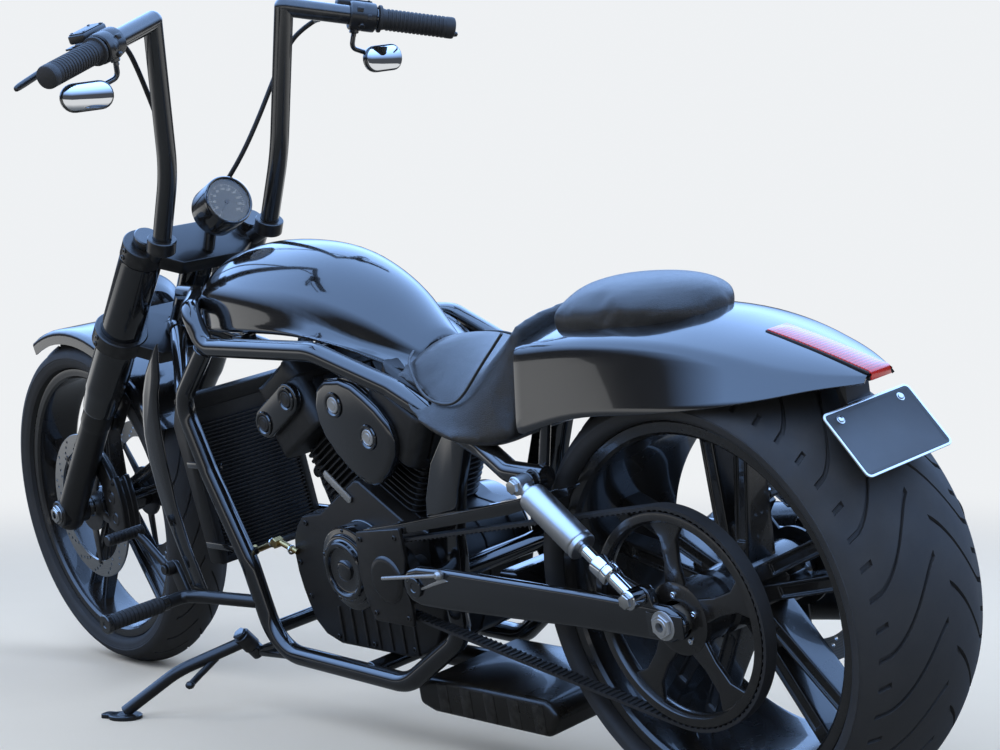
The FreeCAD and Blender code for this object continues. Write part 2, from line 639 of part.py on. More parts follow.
def clamps_shape():
    upper = clamp_shape(upper_clamp_s, fork_cover_r - 10, 62)
    stem = rod(on_steer(steer_s(lower_clamp_s)), on_steer(steer_s(upper_clamp_s)), stem_r)
    riser = fused([rod(bar_low, bar_low + bar_first * 26, bar_r + 9),
                   rod(on_fork(upper_clamp_s, 104, -20), bar_low + bar_first * 12, clamp_wall / 2 - 1)])
    risers = both_sides(riser)
    whole = fused([upper, lower_clamp] + risers)
    clear = rod(on_steer(headstock_low_s - bearing_gap), on_steer(headstock_high_s + bearing_gap), headstock_r + 8)
    whole = fused([whole.cut(clear), stem])
    for side in (fork_half, -fork_half):
        whole = whole.cut(rod(on_fork(lower_clamp_s - clamp_wall, side), on_fork(lower_clamp_s + clamp_wall, side),
                              fork_cover_r + seat_fit))
        whole = whole.cut(rod(on_fork(upper_clamp_s - clamp_wall, side), on_fork(upper_clamp_s + 21, side),
                              stanchion_r + seat_fit))
    bar_room = rod(bar_low, bar_low + bar_first * 60, bar_r + seat_fit)
    return whole.cut(bar_room).cut(mirrored(bar_room))


# Handlebar: a tall one-piece bar with mitred elbows
bar_low = Vector(322.0, 113.0, 868.0)
bar_knee = Vector(246.0, 115.0, 1006.0)
bar_elbow = Vector(184.0, 133.0, 1262.0)
bar_end = Vector(62.0, 402.0, 1186.0)
bar_first = (bar_knee - bar_low).normalize()


def handlebar_side():
    upright = tube([bar_low + bar_first * 2, bar_knee, bar_elbow], bar_r, [300])
    arm = rod(bar_elbow, bar_end, bar_r)
    cap = Part.makeSphere(bar_r, bar_elbow)
    return fused([upright, arm, cap])


arm_dir = (bar_end - bar_elbow).normalize()
handlebar_left = handlebar_side()


def grip_shape():
    grip = rod(bar_end - arm_dir * grip_length, bar_end + arm_dir * 6, grip_r)
    grip = fused([grip, rod(bar_end - arm_dir * (grip_length + 5), bar_end - arm_dir * grip_length, grip_r + 5)])
    return grip.cut(rod(bar_elbow, bar_end + arm_dir * 0.3, bar_r + seat_fit))


ahead_dir = arm_dir.cross(Z_AXIS).normalize() * -1.0
if ahead_dir.x < 0:
    ahead_dir = ahead_dir * -1.0
over_dir = arm_dir.cross(ahead_dir).normalize()
if over_dir.z < 0:
    over_dir = over_dir * -1.0


def block(centre, along, across, up, size):
    # box with its own three directions
    half = [along * (size[0] / 2), across * (size[1] / 2), up * (size[2] / 2)]
    base = centre - half[0] - half[1] - half[2]
    outline = [base, base + half[0] * 2, base + (half[0] + half[1]) * 2, base + half[1] * 2]
    return face(outline).extrude(half[2] * 2)


def control_shape():
    # switch housing round the bar and the fluid reservoir in front of it
    middle = bar_end - arm_dir * (grip_length + 34)
    housing = rod(middle - arm_dir * 24, middle + arm_dir * 24, bar_r + 9)
    perch = block(middle - arm_dir * 30 + ahead_dir * 24 + over_dir * 4, arm_dir, ahead_dir, over_dir, (64, 30, 26))
    tank_top = block(middle - arm_dir * 40 + ahead_dir * 36 + over_dir * 22, arm_dir, ahead_dir, over_dir, (66, 34, 16))
    ears = [block(middle - arm_dir * 4 + ahead_dir * 45 + over_dir * rise, arm_dir, ahead_dir, over_dir, (22, 16, 3.4))
            for rise in (10.6, -6.6)]
    whole = fused([housing, perch, tank_top] + ears)
    return whole.cut(rod(bar_elbow, bar_end, bar_r + seat_fit))


def lever_shape():
    pivot = bar_end - arm_dir * (grip_length + 38) + ahead_dir * 45.8 + over_dir * 2
    bend = bar_end - arm_dir * (grip_length - 14) + ahead_dir * 58
    tip = bar_end + arm_dir * 26 + ahead_dir * 50 - over_dir * 6
    return tube([pivot, bend, tip], 6.5, [60])


def mirror_parts():
    foot = bar_end - arm_dir * (grip_length + 46) - over_dir * (bar_r + 9.8)
    centre = Vector(138.0, 300.0, 1150.0)
    low = Vector(centre.x + 12, centre.y, centre.z + 2)
    knee = foot - over_dir * 30 + ahead_dir * 6
    arm = tube([foot, knee, low], 4.5, [12])
    shell = Part.makeCylinder(24, 14, Vector(0, 0, 0), X_AXIS)
    shell = fused([shell.translated(Vector(0, 22, 0)), shell.translated(Vector(0, -22, 0)),
                   Part.makeBox(14, 44, 48, Vector(0, -22, -24))])
    glass = Part.makeCylinder(21, 1.5, Vector(-1.8, 0, 0), X_AXIS)
    glass = fused([glass.translated(Vector(0, 22, 0)), glass.translated(Vector(0, -22, 0)),
                   Part.makeBox(1.5, 44, 42, Vector(-1.8, -22, -21))])
    turn = Placement(centre, Rotation(Z_AXIS, -8))
    shell = shell.transformGeometry(turn.toMatrix())
    glass = glass.transformGeometry(turn.toMatrix())
    return fused([shell, arm]), glass


# Instrument, headlamp and front fender
dial_dir = Vector(-math.cos(rad(20)), 0, math.sin(rad(20)))
dial_centre = Vector(250.0, 0.0, 941.0)


def speedometer_shape():
    bowl = rod(dial_centre - dial_dir * 62, dial_centre, 46)
    back = Part.makeCone(28, 46, 22, dial_centre - dial_dir * 84, dial_dir)
    bracket = rod(dial_centre - dial_dir * 70, on_fork(upper_clamp_s + clamp_wall / 2 + 0.8, 0, -40), 11)
    whole = fused([bowl, back, bracket])
    return whole.cut(rod(dial_centre - dial_dir * 6, dial_centre + dial_dir, 41))


dial_glass = rod(dial_centre - dial_dir * 5.7, dial_centre - dial_dir * 2, 40.7)
lamp_centre = Vector(600.0, 0.0, 738.0)
lamp_r = 74.0


def headlamp_shape():
    # shallow bowl with a round rim, held by a stay on the lower clamp
    bowl = Part.makeCone(lamp_r - 34, lamp_r - 2, 34, lamp_centre - Vector(25, 0, 0), X_AXIS)
    rim = ring(lamp_centre + Vector(18, 0, 0), X_AXIS, lamp_r, 0, 18)
    stay = rod(lamp_centre - Vector(22, 0, 26), on_fork(lower_clamp_s + 2, 0, fork_cover_r + 4), 11)
    whole = fused([bowl, rim, stay]).cut(lower_clamp)
    return whole.cut(rod(lamp_centre + Vector(12, 0, 0), lamp_centre + Vector(60, 0, 0), lamp_r - 7))


headlamp_lens = rod(lamp_centre + Vector(12.3, 0, 0), lamp_centre + Vector(26, 0, 0), lamp_r - 7.3)
fender_r = front_tyre_r + 21.0
fender_half = 69.0


def arc_band(centre, inner, outer, start_deg, end_deg, y_low, y_high):
    # a band of a wheel-shaped wall between two angles, measured from straight ahead towards the top
    def at(radius, degrees):
        return (centre.x + radius * math.cos(rad(degrees)), centre.z + radius * math.sin(rad(degrees)))
    middle = (start_deg + end_deg) / 2
    return side_plate([at(outer, start_deg), (at(outer, middle), at(outer, end_deg)), at(inner, end_deg),
                       (at(inner, middle), at(inner, start_deg))], y_low, y_high)


def front_fender_shape():
    crown = arc_band(front_axle, fender_r - 4, fender_r, 68, 152, -fender_half, fender_half)
    cheeks = [arc_band(front_axle, fender_r - 30, fender_r - 3, 70, 150, y, y + 4)
              for y in (-fender_half, fender_half - 4)]
    stay = block(on_fork(295, fender_half + 0.4, -14), fork_dir, Y_AXIS, fork_normal, (100, 2.8, 44))
    seat_pad = block(on_fork(262, 75.5, -6), fork_dir, Y_AXIS, fork_normal, (36, 12, 22))
    stay = fused([stay, seat_pad]).cut(rod(on_fork(150, fork_half), on_fork(299, fork_half), fork_lower_r + seat_fit))
    return fused([crown] + cheeks + both_sides(stay))


def front_caliper_shape():
    def at(radius, degrees):
        return (front_axle.x + radius * math.cos(rad(degrees)), front_axle.z + radius * math.sin(rad(degrees)))
    y_mid = front_disc_y
    body = side_plate([at(106, 158), at(168, 154), (at(172, 176), at(168, 198)), at(106, 194), ],
                      y_mid - 18, y_mid + 20)
    lug = side_plate([at(112, 128), at(156, 128), at(160, 158), at(112, 160)], y_mid + 8, y_mid + 20)
    whole = fused([body, lug])
    slot = ring(Vector(front_axle.x, y_mid, front_axle.z), Y_AXIS, front_disc_r + 4, 0, disc_wall + 3)
    leg = rod(on_fork(-60, fork_half), on_fork(400, fork_half), fork_lower_r + seat_fit)
    return whole.cut(slot).cut(leg)


def front_axle_shape():
    end = fork_half + fork_lower_r
    inner = fork_half - fork_lower_r
    def across(y_from, y_to, radius):
        return rod(Vector(front_axle.x, y_from, front_axle.z), Vector(front_axle.x, y_to, front_axle.z), radius)
    pieces = [across(-end - 8, end + 8, axle_r)]
    for side in (1, -1):
        pieces.append(across(side * (front_hub_half + disc_wall + 1.3), side * (inner - seat_fit), axle_r + 7))
        pieces.append(across(side * (end + seat_fit), side * (end + 10), 19))
        pieces.append(across(side * (front_hub_half + hub_gap), side * (front_hub_half + 12), axle_r + 4))
    return fused(pieces).cut(across(-end - 20, end + 20, axle_bore_r))


# Hoses from the controls down to the lower clamp, held along the bar
hose_points = (
    bar_end - arm_dir * 230.5 + ahead_dir * 24 - over_dir * 5, Vector(206.0, 176.0, 1222.0),
    Vector(230.0, 150.0, 1186.0), Vector(250.0, 124.0, 1130.0), Vector(272.0, 98.0, 1072.0),
    Vector(302.0, 74.0, 1016.0), Vector(346.0, 56.0, 968.0), Vector(404.0, 47.0, 926.0),
    on_fork(652.0, 45.0, 50.0), on_fork(584.0, 44.0, 38.0), on_fork(lower_clamp_s + clamp_wall / 2 - 0.8, 44.0, 30.0))
hose_r = 4.5


def hose_shape():
    bends = []
    for index in range(1, len(hose_points) - 1):
        back = hose_points[index - 1] - hose_points[index]
        ahead = hose_points[index + 1] - hose_points[index]
        turn = math.pi - back.getAngle(ahead)
        bends.append(0.45 * min(back.Length, ahead.Length) / math.tan(turn / 2))
    print("hose bend radii", [round(bend) for bend in bends])
    return tube(list(hose_points), hose_r, bends)


# Engine pieces that show from the sides


def clutch_cover_shape():
    y0 = -case_block_half - seat_fit
    spot = Vector(-170, y0, 322)
    return fused([ring(spot - Vector(0, 20, 0), Y_AXIS, 92, 0, 40),
                  ring(spot - Vector(0, 44, 0), Y_AXIS, 74, 0, 10)])


def belt_shape():
    # flat belt round the rear pulley and the drive sprocket, running clear of both
    big = Vector(rear_axle.x, 0, rear_axle.z)
    small = Vector(drive_sprocket_x, 0, swing_pivot_z)
    def loop(grow):
        r1 = pulley_r + grow
        r2 = drive_sprocket_r + grow
        run = small - big
        base = math.atan2(run.z, run.x)
        open_deg = math.acos((r1 - r2) / run.Length)
        def at(centre, radius, angle):
            return (centre.x + radius * math.cos(angle), centre.z + radius * math.sin(angle))
        return side_plate([
            at(big, r1, base + open_deg), at(small, r2, base + open_deg),
            (at(small, r2, base), at(small, r2, base - open_deg)), at(big, r1, base - open_deg),
            (at(big, r1, base + math.pi), at(big, r1, base + open_deg))],
            pulley_y - belt_w / 2, pulley_y + belt_w / 2)
    return loop(belt_gap + belt_wall).cut(loop(belt_gap))


def sprocket_shape():
    spot = Vector(drive_sprocket_x, pulley_y, swing_pivot_z)
    wheel = ring(spot, Y_AXIS, drive_sprocket_r, 0, belt_w)
    shaft = rod(Vector(spot.x, case_block_half + seat_fit, spot.z), Vector(spot.x, pulley_y, spot.z), 20)
    return fused([wheel, shaft])


def belt_guard_shape():
    # cover over the belt's upper run, bent down at its outer edge
    y_in = rear_tyre_half + 5
    y_out = swing_tip_y - swing_wall - 2
    top = side_plate([(-196, 408), (-300, 426), (-560, 478), (-700, 510), (-700, 514), (-560, 482), (-300, 430),
                      (-196, 412)], y_in, y_out)
    lip = side_plate([(-196, 396), (-300, 412), (-560, 462), (-700, 502), (-700, 514), (-560, 482), (-300, 430),
                      (-196, 412)], y_out - 3, y_out)
    return fused([top, lip])


def sprocket_cover_shape():
    y_in = pulley_y + belt_w / 2 + 3
    plate = side_plate([
        (-186, 410), (-300, 424), (-304, 376), (-286, 336), (-300, 290), (-296, 262), (-200, 262), ((-176, 336), (-186, 410))],
        y_in, y_in + 9)
    dome = ring(Vector(drive_sprocket_x, y_in + 11, swing_pivot_z), Y_AXIS, 40, 0, 6)
    foot = rod(Vector(-200, case_block_half + seat_fit, 276), Vector(-200, y_in, 276), 9)
    return fused([plate, dome, foot])


# Exhaust: a header from each head, the box under the engine and two stacked mufflers on the right
exhaust_r = 20.0
muffler_r = 42.0
muffler_runs = {  # front and rear end of each muffler's centre line
    "lower": (Vector(-600.0, -250.0, 219.0), Vector(-1020.0, -264.0, 262.0)),
    "upper": (Vector(-560.0, -248.0, 318.0), Vector(-1020.0, -264.0, 365.0))}


def front_header_shape():
    port = on_bank(-cylinder_tilt_deg, 281, 73.3) - Vector(0, 30, 0)
    pipe = tube([port, port + Vector(53, 0, -31), Vector(156, -56, 400), Vector(152, -62, 235), Vector(66, -62, 112),
                 Vector(-190, -62, 112)], exhaust_r, [24, 90, 90, 60])
    box = side_plate([(-184, 92), (-184, 132), (-220, 146), (-500, 146), (-528, 122), (-500, 84), (-220, 84)],
                     -104, 104)
    return fused([pipe, box])


def rear_header_shape():
    start, end = muffler_runs["upper"]
    along = (end - start).normalize()
    return tube([Vector(-252, -112.5, 588), Vector(-252, -200, 588), Vector(-270, -206, 420), start - along * 180,
                 start - along * 0.5], exhaust_r, [40, 60, 60])


def muffler_link_shape():
    start, end = muffler_runs["lower"]
    along = (end - start).normalize()
    return tube([Vector(-420, -80, 116), Vector(-450, -160, 128), start - along * 80, start - along * 0.5],
                exhaust_r, [30, 30])


def muffler_shape(start, end):
    along = (end - start).normalize()
    can = fused([Part.makeCone(exhaust_r + 4, muffler_r, 34, start, along),
                 rod(start + along * 34, end, muffler_r)])
    return can.cut(rod(end - along * 60, end + along, muffler_r - 5))


front_header = front_header_shape()
rear_header = rear_header_shape()
muffler_link = muffler_link_shape().cut(front_header)
mufflers = [muffler_shape(*run) for run in muffler_runs.values()]


# Foot controls ahead of the engine, one bracket each side
peg_spot = Vector(350.0, 226.0, 250.0)
lever_hub = Vector(376.0, 196.0, 302.0)


def foot_peg_shape():
    peg = rod(peg_spot, peg_spot + Vector(0, 124, 0), 15)
    return fused([peg, ring(peg_spot + Vector(0, 128, 0), Y_AXIS, 18, 0, 8)])


def foot_bracket_shape():
    arm = tube([Vector(176, cradle_half + 6, 240), Vector(300, 176, 250), Vector(350, 190, 250),
                peg_spot - Vector(0, seat_fit, 0)], 12, [60, 20])
    cheek = side_plate([(334, 246), (366, 240), (390, 300), ((378, 316), (362, 306))], 178, 188)
    pin = rod(lever_hub - Vector(0, 12, 0), lever_hub + Vector(0, 9, 0), 5)
    tube_room = tube([Vector(262, 144, 480), Vector(196, 136, 310), Vector(168, cradle_half, 150),
                      Vector(-200, cradle_half, 140)], rail_r + seat_fit, [120, 80])
    pieces = fused([arm, cheek, pin]).cut(tube_room).Solids
    return max(pieces, key=lambda solid: solid.Volume)


def foot_lever_shape():
    hub = ring(lever_hub, Y_AXIS, 13, 0, 14)
    arm = tube([lever_hub, Vector(420, 206, 350), Vector(436, 216, 372)], 7, [60])
    toe = rod(Vector(436, 200, 372), Vector(436, 276, 372), 11)
    return fused([hub, arm, toe]).cut(rod(lever_hub - Vector(0, 8, 0), lever_hub + Vector(0, 20, 0), 5 + seat_fit))


def cam_cover_shape(tilt_deg):
    # oval cover on each end of a head, over the two camshafts
    ends = [on_bank(tilt_deg, 300, across) for across in (45, -45)]
    bar = [rod(end + Vector(0, 112.3, 0), end + Vector(0, 128, 0), 27) for end in ends]
    along = (ends[1] - ends[0]).normalize()
    rise = Y_AXIS.cross(along)
    middle = block((ends[0] + ends[1]) / 2 + Vector(0, 112.3 + 15.7 / 2, 0), along, Y_AXIS, rise, (90, 15.7, 54))
    return fused(bar + [middle])


def rear_caliper_shape():
    def at(radius, degrees):
        return (rear_axle.x + radius * math.cos(rad(degrees)), rear_axle.z + radius * math.sin(rad(degrees)))
    body = side_plate([at(104, 30), at(160, 30), (at(160, 50), at(160, 70)), at(104, 70)], -126, -80)
    lug = side_plate([at(110, 6), at(152, 6), at(152, 42), at(110, 42)], swing_wall + seat_fit - swing_tip_y, -118)
    slot = ring(Vector(rear_axle.x, rear_disc_y, rear_axle.z), Y_AXIS, rear_disc_r + 5, 0, disc_wall + 10)
    return fused([body, lug]).cut(slot)


# Tail: the plate's bracket, the bare plate and the light
plate_centre = Vector(-1148.0, 0.0, 575.0)
plate_back_deg = 39.0
plate_along = Vector(-math.sin(rad(plate_back_deg)), 0, -math.cos(rad(plate_back_deg)))
plate_out = Vector(-math.cos(rad(plate_back_deg)), 0, math.sin(rad(plate_back_deg)))
plate = block(plate_centre, Y_AXIS, plate_along, plate_out, (178, 102, 2))
plate_back = block(plate_centre - plate_out * 3.3, Y_AXIS, plate_along, plate_out, (150, 92, 4))
plate_arm_outline = [(-1090, 720), (-1108, 720), (-1108, 614), (-1122.5, 600), (-1132, 588), (-1118, 582),
                     (-1096, 608)]
plate_arm_high = side_plate(plate_arm_outline, -24, 24).common(tail_inner)
plate_arm_low = side_plate([(-1090, 640), (-1108, 640)] + plate_arm_outline[2:], -24, 24)
plate_bracket = fused([plate_back, plate_arm_high, plate_arm_low])
plate_bracket = plate_bracket.cut(plate).cut(tail)
# red light strip down the spine of the tail and over its trailing edge
tail_lamp = side_plate([(-984, 700), (-984, 713), (-1040, 697), (-1096, 678), (-1150, 658), (-1150, 644),
                        (-1130, 644)], -22, 22).cut(tail_outer)


# Frame tabs that the tank cover and the tail fender sit on, cut to their undersides
tank_tab = fused([side_plate([(x - 12, top - 26), (x + 12, top - 26), (x + 12, top), (x - 12, top)], 106, 140)
                  for x, top in ((100, 724), (-120, 706))]).cut(tank)
tail_cross = rod(Vector(-656, -160, 652), Vector(-656, 160, 652), 11).common(tail_inner)
tail_strut = rod(Vector(-636, 143, 532), Vector(-656, 130, 650), 8).cut(tail)
main_frame = fused([main_frame, tank_tab, mirrored(tank_tab), tail_cross, tail_strut, mirrored(tail_strut)])

nodes = {
    "rear_tyre": rear_tyre,
    "rear_wheel": rear_wheel,
    "rear_brake_disc": disc_shape(rear_axle, rear_disc_r, rear_disc_y, 58, axle_r + 14),
    "belt_pulley": pulley_shape(),
    "rear_axle": rear_axle_shape,
    "swingarm": swingarm,
    "shock_bodies": Part.Compound(both_sides(shock_body)),
    "shock_rods": Part.Compound(both_sides(shock_rod)),
    "main_frame": main_frame,
    "side_stand": side_stand_shape(),
    "crankcase": crankcase,
    "cylinders": Part.Compound([cylinder_shape(cylinder_tilt_deg), cylinder_shape(-cylinder_tilt_deg)]),
    "cylinder_heads": Part.Compound([head_shape(cylinder_tilt_deg), head_shape(-cylinder_tilt_deg)]),
    "head_covers": Part.Compound([head_cover_shape(cylinder_tilt_deg), head_cover_shape(-cylinder_tilt_deg)]),
    "alternator_cover": round_cover_shape(),
    "clutch_cover": clutch_cover_shape(),
    "drive_sprocket": sprocket_shape(),
    "drive_belt": belt_shape(),
    "belt_guard": belt_guard_shape(),
    "sprocket_cover": sprocket_cover_shape(),
    "exhaust_pipes": Part.Compound([front_header, rear_header, muffler_link]),
    "mufflers": Part.Compound(mufflers),
    "cam_covers": Part.Compound([cam_cover_shape(cylinder_tilt_deg)] + both_sides(cam_cover_shape(-cylinder_tilt_deg))),
    "rear_caliper": rear_caliper_shape(),
    "foot_pegs": Part.Compound(both_sides(foot_peg_shape())),
    "foot_control_arms": Part.Compound(both_sides(foot_bracket_shape())),
    "foot_levers": Part.Compound(both_sides(foot_lever_shape())),
    "licence_plate": plate,
    "plate_bracket": plate_bracket,
    "tail_lamp": max(tail_lamp.Solids, key=lambda solid: solid.Volume),
    "radiator": radiator,
    "radiator_shrouds": Part.Compound(both_sides(shroud_left)),
    "tank_cover": tank,
    "seat": seat,
    "pillion_pad": pillion,
    "tail_fender": tail,
    "front_tyre": front_tyre,
    "front_wheel": front_wheel,
    "front_brake_discs": Part.Compound([disc_shape(front_axle, front_disc_r, front_disc_y, 52, axle_r + 10),
                                        disc_shape(front_axle, front_disc_r, -front_disc_y, 52, axle_r + 10)]),
    "front_axle": front_axle_shape(),
    "fork_legs": Part.Compound(both_sides(fork_leg_shape())),
    "fork_covers": Part.Compound(both_sides(fork_cover_shape())),
    "triple_clamps": clamps_shape(),
    "handlebar": Part.Compound(both_sides(handlebar_left)),
    "grips": Part.Compound(both_sides(grip_shape())),
    "bar_controls": Part.Compound(both_sides(control_shape())),
    "levers": Part.Compound(both_sides(lever_shape())),
    "mirrors": Part.Compound(both_sides(mirror_parts()[0])),
    "mirror_glasses": Part.Compound(both_sides(mirror_parts()[1])),
    "speedometer": speedometer_shape(),
    "speedometer_glass": dial_glass,
    "headlamp": headlamp_shape(),
    "headlamp_lens": headlamp_lens,
    "front_fender": front_fender_shape(),
    "front_calipers": Part.Compound(both_sides(front_caliper_shape())),
    "control_hoses": Part.Compound(both_sides(hose_shape())),
}
steering_nodes = {
    "front_axle", "fork_legs", "fork_covers", "triple_clamps", "handlebar", "grips", "bar_controls", "levers",
    "mirrors", "mirror_glasses", "speedometer", "speedometer_glass", "headlamp", "headlamp_lens", "front_fender",
    "front_calipers", "control_hoses", "front_tyre", "front_wheel", "front_brake_discs"}


def parked(name, shape):
    place = park.multiply(steer) if name in steering_nodes else park
    moved = shape.copy()
    moved.Placement = place.multiply(moved.Placement)
    return moved


stored = {name: parked(name, shape) for name, shape in nodes.items()}
box = FreeCAD.BoundBox()
for shape in stored.values():
    box.add(shape.optimalBoundingBox(False, False))
origin = Vector((box.XMin + box.XMax) / 2, (box.YMin + box.YMax) / 2, box.ZMin)
for name, shape in stored.items():
    shape.translate(origin * -1.0)
    shape.exportStep("parts/" + name + ".step")
print("size", round(box.XLength), round(box.YLength), round(box.ZLength), "floor", round(box.ZMin, 3))
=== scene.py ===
# Cruiser motorcycle on its side stand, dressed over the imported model
import bmesh
import bpy
import json
import math
from mathutils import Matrix, Vector


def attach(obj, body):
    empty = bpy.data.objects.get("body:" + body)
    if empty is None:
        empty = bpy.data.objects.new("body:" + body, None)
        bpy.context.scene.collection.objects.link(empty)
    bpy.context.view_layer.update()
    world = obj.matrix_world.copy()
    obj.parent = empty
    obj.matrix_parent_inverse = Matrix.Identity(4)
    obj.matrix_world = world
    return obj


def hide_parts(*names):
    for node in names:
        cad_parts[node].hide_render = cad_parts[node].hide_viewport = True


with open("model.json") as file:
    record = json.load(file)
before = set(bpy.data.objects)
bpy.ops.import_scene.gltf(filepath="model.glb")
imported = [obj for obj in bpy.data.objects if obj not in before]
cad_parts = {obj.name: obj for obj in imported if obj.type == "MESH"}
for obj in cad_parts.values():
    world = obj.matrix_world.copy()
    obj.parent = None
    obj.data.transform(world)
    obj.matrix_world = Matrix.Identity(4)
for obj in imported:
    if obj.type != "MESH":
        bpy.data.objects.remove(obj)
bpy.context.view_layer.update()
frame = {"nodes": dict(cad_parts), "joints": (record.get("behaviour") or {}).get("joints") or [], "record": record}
scene = bpy.context.scene
scene.view_settings.view_transform = "Standard"
degree = math.pi / 180
mergeReach = 0.00002  # metres between corners that become one


# ---- where the upright bike goes: read from the joints, so a change of lean needs nothing here
chassis = {"wheelbase": 1.745, "rearAxleHeight": 0.338, "trail": 0.13, "rake": 36, "forkRake": 42.5,
           "restSteer": -3, "lean": 11.7}


def jointNamed(name):
    return next(j for j in frame["joints"] if j["name"] == name)


def parkedMatrix():
    across = Vector(jointNamed("rear_wheel_spin")["axis"]).normalized()
    steerUp = Vector(jointNamed("steering_head")["axis"]).normalized()
    square = across.cross(steerUp)
    rake = chassis["rake"] * degree
    ahead = square * math.cos(rake) - steerUp * math.sin(rake)
    up = square * math.sin(rake) + steerUp * math.cos(rake)
    turn = Matrix((ahead, across, up)).transposed().to_4x4()
    axle = Vector((-chassis["wheelbase"] / 2, 0, chassis["rearAxleHeight"]))
    start = Vector(jointNamed("rear_wheel_spin")["pos_m"]) - turn @ axle
    return Matrix.Translation(start) @ turn


def steerMatrix():
    foot = Vector((chassis["wheelbase"] / 2 + chassis["trail"], 0, 0))
    axis = Vector((-math.sin(chassis["rake"] * degree), 0, math.cos(chassis["rake"] * degree)))
    return Matrix.Translation(foot) @ Matrix.Rotation(chassis["restSteer"] * degree, 4,
                                                      axis) @ Matrix.Translation(-foot)


parked = parkedMatrix()
steered = parked @ steerMatrix()
placeOf = {"frame": parked, "rear_wheel_unit": parked, "side_stand": parked,
           "steering": steered, "front_wheel_unit": steered}
bodyOfNode = {node: bodyName for bodyName, members in frame["record"]["behaviour"]["bodies"].items()
              for node in members}
print("stage: frame loaded,", len(frame["nodes"]), "nodes")


# ---- camera at the photograph's place
cameraSetup = {"place": (-2.75025, 2.16127, 0.72469), "yaw": -0.714, "pitch": -0.034, "roll": -0.01,
               "lens": 71.83}


def addCamera():
    c = cameraSetup
    ahead = Vector((math.cos(c["pitch"]) * math.cos(c["yaw"]), math.cos(c["pitch"]) * math.sin(c["yaw"]),
                    math.sin(c["pitch"])))
    right = Vector((math.sin(c["yaw"]), -math.cos(c["yaw"]), 0))
    up = right.cross(ahead)
    rightRolled = right * math.cos(c["roll"]) + up * math.sin(c["roll"])
    upRolled = up * math.cos(c["roll"]) - right * math.sin(c["roll"])
    turn = Matrix((rightRolled, upRolled, -ahead)).transposed().to_4x4()
    leaned = Matrix.Rotation(-chassis["lean"] * degree, 4, "X")
    bpy.ops.object.camera_add()
    camera = bpy.context.object
    camera.name = "photoCamera"
    camera.matrix_world = parked @ leaned.inverted() @ Matrix.Translation(c["place"]) @ turn
    camera.data.lens = c["lens"]
    camera.data.sensor_width = 36
    camera.data.clip_end = 60
    scene.camera = camera


addCamera()


# ---- helpers: every piece is made upright in metres, then settled onto the parked bike
def startFresh():
    if bpy.context.mode != "OBJECT":
        bpy.ops.object.mode_set(mode="OBJECT")
    bpy.ops.object.select_all(action="DESELECT")


def mm(*values):
    return Vector([v / 1000 for v in values])


def chooseOnly(piece):
    startFresh()
    piece.select_set(True)
    bpy.context.view_layer.objects.active = piece


def settle(piece, node, finishName, smooth=32, placed=True, body=None):
    # the place goes into the mesh, then the piece rides the body of the node that it replaces
    body = body or bodyOfNode[node]
    chooseOnly(piece)
    if piece.type != "MESH":
        bpy.ops.object.convert(target="MESH")
        piece = bpy.context.object
    bpy.ops.object.transform_apply(location=True, rotation=True, scale=True)
    if placed:
        piece.data.transform(placeOf[body])
    if smooth:
        bpy.ops.object.shade_smooth_by_angle(angle=smooth * degree)
    if finishName:
        piece.data.materials.clear()
        piece.data.materials.append(finish[finishName])
    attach(piece, body)
    if node:
        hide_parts(node)
    return piece


def joinAll(pieces, name):
    startFresh()
    for piece in pieces:
        piece.select_set(True)
    bpy.context.view_layer.objects.active = pieces[0]
    if len(pieces) > 1:
        bpy.ops.object.join()
    joined = bpy.context.object
    joined.name = name
    return joined


def copyOf(piece, name, matrix=None):
    twin = piece.copy()
    twin.data = piece.data.copy()
    twin.name = name
    scene.collection.objects.link(twin)
    if matrix is not None:
        twin.data.transform(matrix)
        if matrix.determinant() < 0:
            twin.data.flip_normals()
    return twin


def mirroredCopy(piece, name):
    return copyOf(piece, name, Matrix.Scale(-1, 4, (0, 1, 0)))


def bothSides(piece, name):
    return joinAll([piece, mirroredCopy(piece, name + "Right")], name)


def bothJoined(parts, name):
    return bothSides(joinAll(parts, name), name)


def bevelEdges(piece, width, segments=2, angle=30):
    chooseOnly(piece)
    bevel = piece.modifiers.new("edge", "BEVEL")
    bevel.width = width
    bevel.segments = segments
    bevel.limit_method = "ANGLE"
    bevel.angle_limit = angle * degree
    bevel.harden_normals = False
    bpy.ops.object.modifier_apply(modifier=bevel.name)
    return piece


def subdivided(piece, levels=2):
    chooseOnly(piece)
    soften = piece.modifiers.new("soften", "SUBSURF")
    soften.levels = levels
    soften.render_levels = levels
    bpy.ops.object.modifier_apply(modifier=soften.name)
    return piece


def openMesh(piece):
    chooseOnly(piece)
    bpy.ops.object.mode_set(mode="EDIT")


def closeMesh():
    bpy.ops.object.mode_set(mode="OBJECT")


def facesOut(merge=False):
    # the open mesh gets faces that point outwards, and is closed again
    bpy.ops.mesh.select_all(action="SELECT")
    if merge:
        bpy.ops.mesh.remove_doubles(threshold=mergeReach)
    bpy.ops.mesh.normals_make_consistent(inside=False)
    closeMesh()


